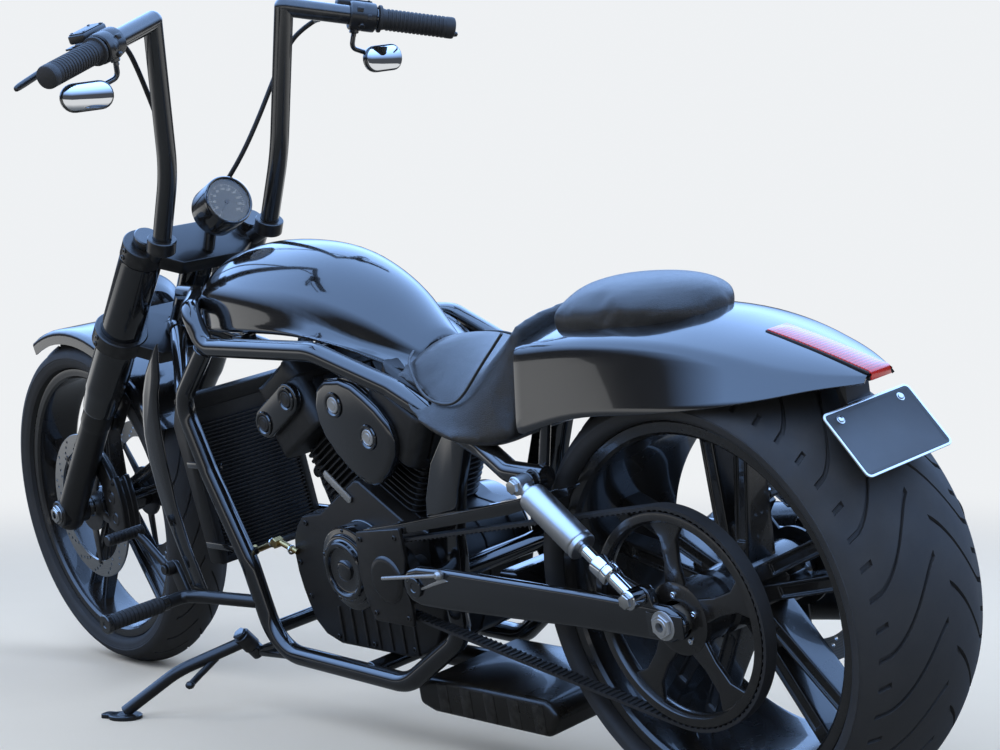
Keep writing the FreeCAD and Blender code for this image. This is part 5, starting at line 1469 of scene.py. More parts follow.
shroud = latheAbout([(0, -84), (26, -84), (28, -82), (34, -76), (45, -63), (46, -60), (46, -10), (45.4, -8),
                     (41.5, -8), (41.5, -40), (0, -40)], (0, 0, 0), "Z", 72, "gaugeShroud")
gaugeFoot = onFork(fork["upper"] + 17.5, 0, -40)
gaugeHang = mm(*gauge["centre"]) - gaugeOut * 0.070
gaugeArm = turnedPiece([
    (0, 0), (11, 0), (11, (gaugeFoot - gaugeHang).length * 1000), (0, (gaugeFoot - gaugeHang).length * 1000)],
    gaugeHang, gaugeFoot - gaugeHang, 32, "gaugeArm")
settle(joinAll([onGauge(shroud), gaugeArm], "gaugeShroud"), "speedometer", "frameBlack")
gaugeRing = latheAbout([(41.2, -9), (46, -9), (46, -3.4), (45.2, -1.2), (43.6, 0), (42.2, -0.6), (41.2, -2)],
                       (0, 0, 0), "Z", 96, "gaugeRing")
settle(onGauge(gaugeRing), "speedometer", "glossPaint", 40)
dial = latheAbout([(0, -12), (34, -12), (35, -11.2), (41.3, -10.4), (41.3, -14), (0, -14)], (0, 0, 0), "Z", 72,
                  "gaugeDial")
settle(onGauge(dial), "speedometer", "dialGrey", 30)
marks = []
for index in range(gauge["ticks"]):
    angle = (gauge["from"] - gauge["sweep"] * index / (gauge["ticks"] - 1)) * degree
    long = index % 4 == 0
    tick = boxOf((0.0052 if long else 0.003, 0.0009 if long else 0.0005, 0.0004), "tick")
    reach = 0.0318 if long else 0.0329
    tick.data.transform(Matrix.Rotation(angle, 4, "Z") @ Matrix.Translation((reach, 0, gauge["face"])))
    marks.append(tick)
    if long:
        startFresh()
        bpy.ops.object.text_add(location=(0, 0, 0))
        figure = bpy.context.object
        figure.data.body = str(index * 5)
        figure.data.size = gauge["figureSize"]
        figure.data.align_x = "CENTER"
        figure.data.align_y = "CENTER"
        figure.data.extrude = 0.00015
        bpy.ops.object.convert(target="MESH")
        figure = bpy.context.object
        figure.data.transform(Matrix.Translation((gauge["figureAt"] * math.cos(angle),
                                                  gauge["figureAt"] * math.sin(angle), gauge["face"])))
        marks.append(figure)
settle(onGauge(joinAll(marks, "gaugeMarks")), "speedometer", "paleInk", 0)
needle = slab([(-1.1, -6), (1.1, -6), (0.5, 27), (-0.5, 27)], -0.3, 0.3, "gaugeNeedle")
needle.data.transform(Matrix.Translation((0, 0, -0.0105)) @ Matrix.Rotation(135 * degree, 4,
                      "Z") @ Matrix.Rotation(-math.pi / 2, 4, "X"))
hubCap = latheAbout([(0, -12), (4.5, -12), (4.5, -9.6), (3.8, -9), (0, -9)], (0, 0, 0), "Z", 24, "gaugeHub")
settle(onGauge(joinAll([needle, hubCap], "gaugeNeedle")), "speedometer", "softRubber", 35)
pane = latheAbout([(0, -2.4), (40.6, -3.6), (40.6, -5.4), (0, -5.4)], (0, 0, 0), "Z", 72, "gaugePane")
settle(onGauge(pane), "speedometer_glass", "clearGlass", 30)


# ---- headlamp: shallow black bowl, bright rim and reflector behind a clear lens
lampPlace = mm(600, 0, 738)
bowl = latheAbout([(0, -25), (38, -25), (40, -24.4), (56, -7), (70, 7), (72, 9), (74, 10), (74, 14), (66.5, 14),
                   (66.5, 11.6), (0, 11.6)], lampPlace, "X", 72, "lampBowl")
lampArm = turnedPiece([(0, 0), (11, 0), (11, 24), (0, 24)], lampPlace - mm(22, 0, 26),
                      onFork(500, 0, 43) - (lampPlace - mm(22, 0, 26)), 24, "lampArm")
settle(joinAll([bowl, lampArm], "lampBowl"), "headlamp", "glossPaint", 35)
lampRim = latheAbout([
    (67, 13), (74, 13), (74, 25), (73, 26.6), (71, 27), (68.5, 26.4), (67, 25)], lampPlace, "X", 96, "lampRim")
settle(lampRim, "headlamp", "chrome", 40)
reflector = latheAbout([(0, 12), (18, 12.2), (40, 13.4), (58, 16.4), (66.6, 20), (66.6, 11.8), (0, 11.8)],
                       lampPlace, "X", 72, "lampReflector")
settle(reflector, "headlamp_lens", "chrome", 40)
lens = latheAbout([
    (0, 25.8), (30, 25.4), (55, 24.2), (66.4, 22.6), (66.4, 20.4), (0, 23.4)], lampPlace, "X", 72, "lampLens")
settle(lens, "headlamp_lens", "clearGlass", 40)
print("stage: gauge and headlamp")


# ---- front fender: a thin crown with rolled cheeks and its stays
def fenderProfile():
    # across the wheel: (radius, y), outer skin then inner
    outer = [(336.5, 69), (350, 69), (357, 68.6), (361.5, 66.5), (364.6, 62), (366, 54), (366, 30), (366, 0)]
    inner = [(362.4, 0), (362.4, 30), (362.2, 53), (360.8, 59), (357.6, 63.4), (353, 65.4), (348, 66),
             (336.5, 66)]
    full = [(r, -y) for r, y in outer] + [(r, y) for r, y in reversed(outer[:-1])]
    back = [(r, y) for r, y in reversed(inner)] + [(r, -y) for r, y in inner[1:]]
    return full + back


def arcSweep(profile, centre, fromDeg, toDeg, steps, name):
    # a closed section swept round the wheel between two angles from straight ahead
    centre = Vector(centre)
    rings = []
    for step in range(steps + 1):
        a = (fromDeg + (toDeg - fromDeg) * step / steps) * degree
        out = Vector((math.cos(a), 0, math.sin(a)))
        drop = 1.2 if step in (0, steps) else 0  # rounds the two ends off
        rings.append([centre + out * ((r - (drop if r > 364 else 0)) / 1000) + mm(0, y, 0) for r, y in profile])
    return bridgeSections(rings, name)


fender = arcSweep(fenderProfile(), frontAxle, 68, 152, 20, "frontFender")
stays = []
forkAhead = Vector((math.cos(chassis["forkRake"] * degree), 0, math.sin(chassis["forkRake"] * degree)))
forkTurn = Matrix((forkUp, Vector((0, 1, 0)), forkAhead)).transposed().to_4x4()
for s, side, ahead, size in ((295, 69.5, -14, (96, 2.6, 40)), (262, 75.5, -6, (34, 11, 20))):
    stay = bevelEdges(boxOf(mm(*size), "fenderStay"), 0.001, 2)
    stay.data.transform(Matrix.Translation(onFork(s, side, ahead)) @ forkTurn)
    stays.append(stay)
for s, ahead in ((330, -24), (330, -4), (270, -24)):
    stays.append(bolt(onFork(s, 70.8, ahead), (0, 1, 0), 3.6, "fenderBolt"))
settle(fender, "front_fender", "glossPaint", 40)
settle(bothJoined(stays, "fenderStays"), "front_fender", "satinBlack")
print("stage: front fender")


# ---- engine: finned barrels, rounded heads, joint faces, side covers and their bolts
engine = {"crank": (-105, 330), "tilt": 30, "deck": 124, "headBase": 232, "headTop": 330}


def bankMatrix(tilt, reach):
    a = tilt * degree
    turn = Matrix(((math.cos(a), 0, -math.sin(a)), (0, 1, 0), (math.sin(a), 0, math.cos(a)))).to_4x4()
    return Matrix.Translation(onBank(tilt, reach)) @ turn


def makeBank(tilt, name):
    # barrel with cast fins, modelled upright, then leaned over
    finCount, finPitch = 9, 11.2
    pieces = [roundedPlate(96, 124, 30, 0.5, 107.5, name + "Barrel", 1.5)]
    fin = roundedPlate(122, 151, 22, 6, 9.4, name + "Fin", 1.2)
    for index in range(1, finCount):
        pieces.append(copyOf(fin, name + "Fin" + str(index), Matrix.Translation(mm(0, 0, index * finPitch))))
    pieces.append(fin)
    for side in (-1, 1):
        for across in (-1, 1):
            pieces.append(latheAbout(
                [(0, 1), (7, 1), (7, 107), (0, 107)], mm(across * 46, side * 60, 0), "Z", 16, name + "Post"))
    barrel = joinAll(pieces, name + "Barrel")
    barrel.data.transform(bankMatrix(tilt, engine["deck"]))
    head = roundedPlate(146, 224, 26, 0.4, 98, name + "Head", 9)
    insetPicked(head, lambda co, n: abs(n.x) > 0.95, (0.010, 0), (0.004, -0.005))
    ribs = []
    for step in range(-3, 4):
        rib = boxOf((0.144, 0.004, 0.07), name + "Rib")
        rib.data.transform(Matrix.Translation(mm(0, step * 26, 46)))
        bevelEdges(rib, 0.0012, 2)
        ribs.append(rib)
    head = joinAll([head] + ribs, name + "Head")
    head.data.transform(bankMatrix(tilt, engine["headBase"]))
    cover = roundedPlate(124, 208, 24, 0.3, 36, name + "Cover")
    openMesh(cover)
    pick(lambda co, n: n.z > 0.9)
    bpy.ops.mesh.inset(thickness=0.007, depth=0)
    pick(lambda co, n: co.z > 0.035 and max(abs(co.x) / 0.062, abs(co.y) / 0.104) > 0.985, "VERT")
    bpy.ops.transform.translate(value=(0, 0, -0.008))
    closeMesh()
    bevelEdges(cover, 0.003, 3, 25)
    studs = [bolt(mm(x, y, 30.5), (0, 0, 1), 4.2, name + "Bolt") for x in (-52, 52) for y in (-88, -30, 30, 88)]
    lip = roundedPlate(123.6, 207.6, 24, 0.3, 5, name + "Lip", 1.2)
    cover = joinAll([cover, lip] + studs, name + "Cover")
    cover.data.transform(bankMatrix(tilt, engine["headTop"]))
    return barrel, head, cover


rearBank = makeBank(engine["tilt"], "rearBank")
frontBank = makeBank(-engine["tilt"], "frontBank")
for index, node in enumerate(("cylinders", "cylinder_heads", "head_covers")):
    pair = joinAll([rearBank[index], frontBank[index]], ("barrels", "heads", "headCovers")[index])
    settle(pair, node, "engineBlack")

deckRear = [onBank(engine["tilt"], engine["deck"], side) for side in (64, -64)]
deckFront = [onBank(-engine["tilt"], engine["deck"], side) for side in (64, -64)]
caseOutline = [(96, 232), (106, 262), (112, 292), (113, 322), (106, 352), (92, 376), (70, 396)]
caseOutline += [(p.x * 1000, p.z * 1000) for p in deckFront + deckRear]
caseOutline += [(-270, 398), (-290, 380), (-301, 355), (-303, 330), (-300, 300), (-278, 248), (-250, 200),
                (-216, 182), (-180, 170), (20, 170), (60, 182), (84, 204)]
case = slab(caseOutline, -96, 96, "crankcase", 5, 3)
caseParts = [case]
for y in (-2.5, 60, -64):
    middle = Vector((-95, 0, 285))
    seam = [(middle.x + (x - middle.x) * 1.012, middle.z + (z - middle.z) * 1.012) for x, z in caseOutline]
    caseParts.append(slab(seam, y, y + 5, "caseSeam", 1.2))
for x, z in ((84, 250), (98, 310), (60, 384), (-262, 384), (-288, 330), (-262, 240), (-190, 186), (-80, 182),
             (20, 184)):
    caseParts.append(bolt(mm(x, 96.5, z), (0, 1, 0), 5, "caseBolt"))
    caseParts.append(bolt(mm(x, -96.5, z), (0, -1, 0), 5, "caseBolt"))
for index in range(7):
    x = -200 + index * 34
    caseParts.append(slab([(x, 176), (x + 5, 176), (x + 5, 240), (x, 240)], 92, 99, "caseRib", 1.5))
    caseParts.append(slab([(x, 176), (x + 5, 176), (x + 5, 240), (x, 240)], -99, -92, "caseRib", 1.5))
settle(joinAll(caseParts, "crankcase"), "crankcase", "engineBlack")


def boltRing(centre, radius, count, direction, size, start=0.0):
    return [
        bolt(
            mm(
                centre[0] + radius * math.cos((start + 360 * i / count) * degree), centre[1],
                centre[2] + radius * math.sin((start + 360 * i / count) * degree)),
            direction, size, "ringBolt") for i in range(count)]


roundCover = latheAbout([
    (0, 57), (11, 57), (15.5, 56), (18, 54), (18, 50.6), (22, 50), (36, 50), (39, 51.2), (40.5, 56), (43, 57.6),
    (47, 57.6), (49.6, 56), (51, 51.4), (53, 49.8), (57, 49.4), (59.4, 48), (60.2, 45), (62, 44), (68, 43.8),
    (71, 42.4), (72, 40), (72, 6), (73.4, 5), (73.4, 0.4), (0, 0.4)], mm(-105, 96, 330), "Y", 96, "roundCover")
roundParts = [roundCover] + boltRing((-105, 139.6, 330), 66, 5, (0, 1, 0), 3.0, 18)
settle(joinAll(roundParts, "roundCover"), "alternator_cover", "glossPaint", 30)
clutchCover = latheAbout([
    (0, -52), (16, -52), (20, -50.6), (22, -49.4), (66, -49.4), (71, -47.6), (74, -44), (75, -41), (86, -40),
    (90.4, -37.6), (92, -34), (92, -4), (94, -3), (94, -0.5), (0, -0.5)],
    mm(-170, -96, 322), "Y", 96, "clutchCover")
settle(joinAll([clutchCover] + boltRing((-170, -136.2, 322), 82, 8, (0, -1, 0), 3.6, 10), "clutchCover"),
       "clutch_cover", "glossPaint", 30)


# cam covers: an oval over the front cams, a broad leaf over the rear ones with two grey plugs, and below the leaf
# a grey sheet that is a painted highlight
def plugSet(spots, y, name):
    # a round well and the turned plug that sits in it
    wells, plugs = [], []
    for x, z in spots:
        wells.append(latheAbout([(13.4, 0), (20, 0), (21.5, 1.6), (20.5, 3.4), (17.5, 3.6), (15.4, 2.4),
                                 (14.4, 1), (13.4, 0.4)], mm(x, y, z), "Y", 48, name + "Well"))
        plugs.append(latheAbout([
            (0, 3.2), (7, 3.2), (7.6, 2.6), (10.6, 2.6), (11.2, 3.2), (13, 3.0), (13.8, 2.2), (13.8, -2),
            (0, -2)], mm(x, y, z), "Y", 48, name + "Plug"))
    return wells, plugs


def ovalOutline(first, second, radius, count=14):
    run = math.atan2(second[1] - first[1], second[0] - first[0]) / degree
    return arcPoints(first, radius, run + 90, run + 270, count) + arcPoints(second, radius, run - 90, run + 90,
            count)


frontEnds = [onBank(-engine["tilt"], 300, across) * 1000 for across in (45, -45)]
frontEnds = [(p.x, p.z) for p in frontEnds]
frontOval = slab(ovalOutline(frontEnds[0], frontEnds[1], 27), 112.3, 126, "frontCamOval", 3.4, 3)
frontWells, frontPlugs = plugSet(frontEnds, 126, "frontCam")
frontOvals = bothJoined([frontOval] + frontWells, "frontCamOval")
leafLine = [
    (-149, 650), (-180, 641), (-208, 624), (-236, 604), (-260, 578), (-268, 552), (-262, 526), (-240, 498),
    (-216, 480), (-196, 473), (-172, 477), (-140, 494), (-108, 520), (-84, 548), (-72, 576), (-70, 606),
    (-82, 632), (-108, 648)]
leaf = slab(leafLine, 112.3, 122, "camLeaf", 0)
insetPicked(leaf, lambda co, n: abs(n.y) > 0.9 and co.y > 0.12, (0.006, 0.004), (0.005, 0.0012))
bevelEdges(leaf, 0.0022, 3, 20)
rearWells, rearPlugs = plugSet([(-128, 607), (-207, 556)], 127.2, "rearCam")
leafBody = slab([(x * 0.94 - 10, z * 0.96 + 22) for x, z in leafLine], 100, 113, "camLeafBody", 3)
# bright grey sheet below the leaf: a painted highlight, not a slot in the case
paintedSlotHighlight = slab([(-23, 478), (-30, 484), (-90, 440), (-86, 431), (-79, 430), (-24, 470)], 96.5, 100, "slotHighlightSheet",
                1.2)
settle(
    joinAll([frontOvals, leaf, leafBody] + rearWells, "camCovers"), "cam_covers", "glossPaint")
settle(joinAll(rearPlugs + [paintedSlotHighlight], "camPlugsAndSlotHighlight"), "cam_covers", "plugGrey")
settle(bothJoined(frontPlugs, "frontPlugs"), "cam_covers", "engineBlack")
print("stage: engine")


# ---- final drive: toothed belt, pulley bolts, sprocket cover
drive = {"axle": axleAt["rear"], "small": (-250, 336), "y": 148, "width": 22, "pulley": 152, "sprocket": 52,
         "gap": 0.5, "wall": 7}
beltRun = Vector((drive["small"][0] - drive["axle"][0], drive["small"][1] - drive["axle"][1]))
beltBase = math.atan2(beltRun.y, beltRun.x)


def beltLoop(grow, steps=40):
    r1, r2 = drive["pulley"] + grow, drive["sprocket"] + grow
    opening = math.acos((r1 - r2) / beltRun.length)
    big = arcPoints(drive["axle"], r1, (beltBase + opening) / degree,
                    (beltBase + 2 * math.pi - opening) / degree, steps * 2)
    small = arcPoints(drive["small"], r2, (beltBase - opening) / degree, (beltBase + opening) / degree, steps)
    return big + small


def beltTeeth(pitch=11.0):
    # evenly along the inner side of the belt
    line = [Vector(p) for p in beltLoop(drive["gap"] + 2.4, 60)]
    line.append(line[0])
    tooth = slab([(-2.4, -0.2), (-1.6, 1.9), (1.6, 1.9), (2.4, -0.2)], drive["y"] - 10.5, drive["y"] + 10.5,
                 "beltTooth")
    twins = []
    travelled, target = 0.0, 0.0
    for a, b in zip(line, line[1:]):
        run = (b - a).length
        while target <= travelled + run and run > 0:
            spot = a.lerp(b, (target - travelled) / run)
            way = (b - a).normalized()
            inward = Vector((-way.y, way.x))
            turn = Matrix(((way.x, 0, inward.x), (0, 1, 0), (way.y, 0, inward.y))).to_4x4()
            twins.append(copyOf(tooth, "beltTooth" + str(len(twins)),
                                Matrix.Translation(mm(spot.x, 0, spot.y)) @ turn))
            target += pitch
        travelled += run
    bpy.data.objects.remove(tooth)
    return twins


outerLoop, innerLoop = beltLoop(drive["gap"] + drive["wall"]), beltLoop(drive["gap"] + 2.6)
beltIn, beltOut = drive["y"] - drive["width"] / 2, drive["y"] + drive["width"] / 2
sections = [[mm(xo, beltIn, zo), mm(xo, beltOut, zo), mm(xi, beltOut, zi), mm(xi, beltIn, zi)]
            for (xo, zo), (xi, zi) in zip(outerLoop, innerLoop)]
belt = bridgeSections(sections, "driveBelt", caps=False)
openMesh(belt)
bridgeRings(sections[0], sections[-1])
facesOut()
settle(joinAll([belt] + beltTeeth(), "driveBelt"), "drive_belt", "softRubber", 30)

settle(
    joinAll(
        boltRing((drive["axle"][0], drive["y"] + 7.8, drive["axle"][1]), 35, 5, (0, 1, 0), 4.6, 18),
        "pulleyBolts"),
    "belt_pulley", "chrome")
coverIn = drive["y"] + 11 + 3
coverLine = [(-186, 410), (-300, 424), (-304, 376), (-297, 350), (-286, 336), (-297, 312), (-300, 290),
             (-296, 262), (-200, 262), (-184, 296), (-178, 336), (-180, 374)]
coverParts = [slab(coverLine, coverIn, coverIn + 9, "sprocketCover", 2.4, 3)]
coverParts.append(latheAbout([(0, 14), (30, 14), (36, 13), (39, 10.6), (40, 8), (0, 8)], mm(-250, coverIn, 336),
                             "Y", 56, "sprocketDome"))
coverParts.append(latheAbout([(0, -18), (9, -18), (9, 0.5), (0, 0.5)], mm(-200, coverIn, 276), "Y", 20,
                             "sprocketFoot"))
for x, z in ((-196, 398), (-288, 408), (-290, 276), (-206, 276)):
    coverParts.append(bolt(mm(x, coverIn + 9, z), (0, 1, 0), 4.4, "coverBolt"))
settle(joinAll(coverParts, "sprocketCover"), "sprocket_cover", "satinBlack")
print("stage: final drive")


# ---- shocks: grey bodies with turned ends, dark bushes, bright rods
shock = {"top": (-640, 194, 524), "low": (-834, 194, 376)}
shockTop, shockLow = mm(*shock["top"]), mm(*shock["low"])
shockWay = (shockLow - shockTop).normalized()
shockBody = turnedPiece([
    (0, 19), (12, 19), (16, 20.4), (19.6, 23), (21.4, 27), (22, 32), (22, 126), (21.4, 128), (20.4, 129),
    (20.4, 131), (22, 132), (22, 136.6), (21, 138), (10.5, 138), (0, 138)], shockTop, shockWay, 56, "shockBody")
shockEye = latheAbout([(7, -12), (12.4, -12), (14, -10.6), (14, 10.6), (12.4, 12), (7, 12)], shockTop, "Y", 40,
                      "shockEye")
shockNeck = turnedPiece([(0, 8), (10.6, 8), (10.6, 22), (0, 22)], shockTop, shockWay, 32, "shockNeck")
settle(bothJoined([shockBody, shockEye, shockNeck], "shockBodies"), "shock_bodies", "shockAlloy")
runLength = (shockLow - shockTop).length * 1000
shockRod = turnedPiece([
    (0, 138.6), (9, 138.6), (9, 166), (14.4, 168), (16, 171), (16, 186), (14.8, 187.4), (14.8, 189),
    (16, 190.4), (16, 198), (14, 200), (9, 201), (9, runLength - 10), (0, runLength - 10)],
    shockTop, shockWay, 48, "shockRod")
lowEye = latheAbout([(7, -12), (12.4, -12), (14, -10.6), (14, 10.6), (12.4, 12), (7, 12)], shockLow, "Y", 40,
                    "shockLowEye")
settle(bothJoined([shockRod, lowEye], "shockRods"), "shock_rods", "chrome")
nuts = []
for spot in (shockTop, shockLow):
    nuts.append(latheAbout([(0, 20.6), (6, 20.6), (10, 19.6), (10.6, 18.6), (10.6, 13.4), (12, 13), (12, 12.2),
                            (6.4, 12.2), (6.4, -12.2), (0, -12.2)], spot, "Y", 6, "shockNut"))
settle(bothJoined(nuts, "shockNuts"), "shock_bodies", "brightSteel", 20)
print("stage: shocks")


# ---- pulley, sprocket and axles
pulleySpot = rearAxle + mm(0, drive["y"], 0)
pulleyArm = slab([(-19, 40), (-13, 78), (-15, 112), (-32, 138), (32, 138), (15, 112), (13, 78), (19, 40)], -4.5,
                 4.5, "pulleyArm", 2.2, 3)
pulleyArm.data.transform(Matrix.Translation(pulleySpot))
pulleyParts = [repeatAbout(pulleyArm, pulleySpot, "Y", 5, "pulleyArm")]
pulleyParts.append(latheAbout([
    (136, -5), (140, -12), (149, -12), (152, -10.8), (152, -9.4), (150.6, -8.8), (150.6, 8.8), (152, 9.4),
    (152, 10.8), (149, 12), (140, 12), (137, 8), (136, 5), (136, -5)], pulleySpot, "Y", 144, "pulleyRim"))
pulleyParts.append(latheAbout([(26.6, -51.5), (44, -51.5), (46, -49.5), (46, -9), (52, -5), (52, 5), (46, 7),
                               (28, 8), (26.6, 7), (26.6, -51.5)], pulleySpot, "Y", 64, "pulleyHub"))
settle(joinAll(pulleyParts, "pulley"), "belt_pulley", "wheelBlack")
sprocketSpot = mm(drive["small"][0], drive["y"], drive["small"][1])
sprocket = [
    latheAbout([
        (0, -11), (50, -11), (52, -9.8), (52, 9.8), (50, 11), (0, 11)], sprocketSpot, "Y", 72, "sprocket"),
    latheAbout([(0, -51.5), (20, -51.5), (20, 0), (0, 0)], sprocketSpot, "Y", 32, "sprocketShaft")]
settle(joinAll(sprocket, "sprocket"), "drive_sprocket", "satinBlack")


def axleSide(centre, collar, sleeve, name):
    # washer, six-sided nut, the bored axle end, and the sleeve inboard
    parts = [
        latheAbout([
            (7, -80), (12.2, -80), (12.2, 0.4), (collar, 0.4), (collar + 0.4, 1), (collar + 0.4, 2.2),
            (collar, 2.8), (12, 2.8), (12, 8.6), (11.2, 9.6), (7, 9.6), (7, -80)],
            centre, "Y", 48, name + "End"),
        latheAbout([
            (12, 2.8), (16.4, 2.8), (17.6, 3.8), (17.6, 7.4), (16.4, 8.4), (12, 8.4)],
            centre, "Y", 6, name + "Nut"),
        latheAbout([
            (12.2, sleeve[0]), (19, sleeve[0]), (19.5, sleeve[0] + 0.6), (19.5, sleeve[1] - 0.6),
            (19, sleeve[1]), (12.2, sleeve[1])], centre, "Y", 40, name + "Sleeve")]
    return bothJoined(parts, name)


settle(axleSide(rearAxle + mm(0, 182, 0), 20.6, (-84.6, -18.2), "rearAxle"), "rear_axle",
       "plugGrey")
settle(axleSide(frontAxle + mm(0, 140, 0), 18.4, (-71.6, -60.5), "frontAxle"), "front_axle",
       "brightSteel")


# ---- swingarm: deep rounded arms, the shock's ear, the bridge, and a bright rod with a ball end and a fin that paint the highlight on the arm's top front corner
swing = {"pivot": (-335, 336), "axle": axleAt["rear"], "in": 164, "out": 182}
px, pz = swing["pivot"]
ax, az = swing["axle"]
armLine = [
    (px - 6, pz - 32), (px + 18, pz - 26), (px + 31, pz - 12), (px + 32, pz), (px + 31, pz + 12),
    (px + 18, pz + 26), (px - 6, pz + 32), (px - 70, pz + 34), (ax + 170, az + 30), (ax + 20, az + 27),
    (ax - 8, az + 25), (ax - 30, az + 15), (ax - 38, az), (ax - 30, az - 15), (ax - 8, az - 25),
    (ax + 20, az - 26), (ax + 170, az - 26), (px - 70, pz - 32)]
armSide = [slab(armLine, swing["in"], swing["out"], "swingArm", 8.4, 5)]
armSide.append(slab([(-858, 350), (-808, 350), (-819, 382), (-826, 388), (-842, 388), (-849, 382)],
                    swing["in"] + 1, swing["out"] - 1, "shockEar", 3, 3))
armSide.append(slab([(-842, 355), (-908, 354), (-908, 322), (-842, 321)], swing["out"] - 3, swing["out"] + 1.6,
                    "axleBlock", 1.6, 3))
armSide.append(latheAbout([(0, 0), (15, 0), (16.6, 1), (16.6, 3.4), (15, 4.4), (8, 4.4), (7, 3), (0, 3)],
                          mm(px, swing["out"], pz), "Y", 40, "pivotCap"))
arms = bothJoined(armSide, "swingArms")
bridge = slab([(-514.5, 312), (-474.5, 312), (-474.5, 360), (-514.5, 360)], -swing["in"], 128, "swingBridge", 6,
              4)
pivotTube = latheAbout([(0, -164), (17, -164), (17, 164), (0, 164)], mm(px, 0, pz), "Y", 40, "pivotTube")
settle(joinAll([arms, bridge, pivotTube], "swingarm"), "swingarm", "glossPaint")
# bright grey rod, ball and fin on the arm's top front corner: a painted highlight, not a real link
paintedHighlightBar = [
    bentTube([mm(-244, 175, 339), mm(-402, 187, 363)], 0.0032, [], "paintedHighlightBar"),
    latheAbout([
        (0, -8), (4, -7), (7, -3.6), (7.6, 0), (7, 3.6), (4, 7), (0, 8)],
        mm(-406, 187.4, 364), "Y", 28, "paintedHighlightBall"),
    slab([(-402, 359), (-420, 354), (-398, 348), (-351, 333), (-349, 336), (-392, 352)], 181, 184, "paintedHighlightFin", 1)]
settle(joinAll(paintedHighlightBar, "paintedHighlightBar"), "swingarm", "plugGrey")
guardLine = [(-196, 408), (-300, 426), (-560, 478), (-700, 510), (-700, 514), (-560, 482), (-300, 430),
             (-196, 412)]
lipLine = [
    (-196, 397), (-300, 413), (-560, 463), (-700, 502), (-700, 513), (-560, 481), (-300, 429), (-196, 411)]
settle(
    joinAll([
        slab(guardLine, 136, 162, "beltGuard", 1.2), slab(lipLine, 159, 162, "beltLip", 0.8)], "beltGuard"),
    "belt_guard", "glossPaint")
print("stage: swingarm and axles")


# ---- frame: bent tubes, gusset plates, tabs and weld beads
rail = {
    "radius": 0.017,
    "upper": [
        (436.2, 18, 777.2), (322, 60, 782), (216, 150, 768), (186, 150, 706), (-130, 150, 701),
        (-300, 132, 640), (-500, 132, 552), (-574, 154, 528), (-652, 154, 524)],
    "upperBends": [0.060, 0.042, 0.042, 0.110, 0.110, 0.060, 0.040],
    "front": [
        (186, 150, 706), (300, 148, 606), (262, 144, 480), (196, 136, 310), (168, 128, 150), (-200, 128, 140),
        (-335, 108, 230), (-335, 108, 300)],
    "frontBends": [0.060, 0.120, 0.120, 0.080, 0.090, 0.050],
    "plate": [
        (-316, 460), (-344, 520), (-410, 596), (-452, 590), (-402, 480), (-378, 400), (-377, 372), (-372, 336),
        (-364, 304), (-352, 280), (-318, 280), (-304, 306), (-299, 336), (-302, 372), (-306, 400)]}
steerUpright = Vector((-0.5877853, 0, 0.809017))
headLow = mm(492.667, 0, 701.724)
standPivot, standWay = mm(232, 152, 168), Vector((0.0327517, 0.5731547, 0.8187924))


def rodBetween(start, end, radius, name, steps=28):
    run = (end - start).length * 1000
    edge = min(1.2, radius / 6)
    return turnedPiece([(0, 0), (radius - edge, 0), (radius, edge), (radius, run - edge), (radius - edge, run),
                        (0, run)], start, (end - start).normalized(), steps, name)


side = [
    bentTube([mm(*p) for p in rail["upper"]], rail["radius"], rail["upperBends"], "upperRail", 14, 8),
    bentTube([mm(*p) for p in rail["front"]], rail["radius"], rail["frontBends"], "frontRail", 14, 8),
    rodBetween(mm(478.7, 18, 717.7), mm(296, 146, 604), 15, "headBrace"),
    slab(rail["plate"], 98, 120, "pivotPlate", 4, 3),
    rodBetween(mm(-424, 108, 582), mm(-424, 130, 585), 14, "plateArm"),
    rodBetween(mm(-640, 154, 524), mm(-640, 181.7, 524), 14, "shockTab"),
    rodBetween(mm(-636, 143, 532), mm(-656, 130, 650), 8, "tailStrut"),
    slab([(255, 474), (356, 474), (356, 486), (255, 486)], 118.3, 130, "radiatorTab", 2),
    slab([(188, 324), (342, 324), (342, 336), (188, 336)], 118.3, 130, "radiatorTab", 2),
    slab([(88, 698), (112, 698), (112, 723), (88, 723)], 106, 140, "tankTab", 2),
    slab([(-132, 680), (-108, 680), (-108, 705), (-132, 705)], 106, 140, "tankTab", 2)]
for place, way, radius in (((462, 31, 707), (-0.82, 0.57, -0.51), 15.4),
                           ((296, 146, 604), (0.82, -0.57, 0.51), 15.6), ((-640, 170, 524), (0, 1, 0), 14.4),
                           ((190, 150, 702), (0.72, 0, -0.69), 17.6)):
    side.append(wireLoop(mm(*place), Vector(way), radius, 1.8, "weldBead", 48))
frameParts = [bothJoined(side, "frameSide")]
frameParts.append(turnedPiece([
    (15.7, 0), (30, 0), (32, 2), (32, 20), (29.6, 23), (28.6, 40), (28.6, 132), (29.6, 149), (32, 152),
    (32, 169.9), (30, 171.9), (15.7, 171.9)], headLow, steerUpright, 64, "headstock"))
for x, z, half, radius in ((-100, 150, 128, 14), (172, 190, 130, 13), (-436, 580, 112, 15),
                           (-656, 652, 128, 10.8)):
    frameParts.append(rodBetween(mm(x, -half, z), mm(x, half, z), radius, "crossTube"))
standRoot = standPivot - standWay * 0.032
frameParts += [
    rodBetween(standRoot, mm(156, 129, 166), 8, "standStay"),
    rodBetween(standRoot, mm(96, 128, 148), 8, "standStay"),
    rodBetween(standPivot - standWay * 0.038, standPivot - standWay * 0.017, 14, "standBoss"),
    rodBetween(standPivot - standWay * 0.020, standPivot + standWay * 0.019, 6, "standPin"),
    turnedPiece([
        (0, 17.2), (12, 17.2), (13, 18.2), (13, 21.8), (12, 22.8), (0, 22.8)],
        standPivot, standWay, 6, "standNut")]
settle(joinAll(frameParts, "mainFrame"), "main_frame", "glossPaint")

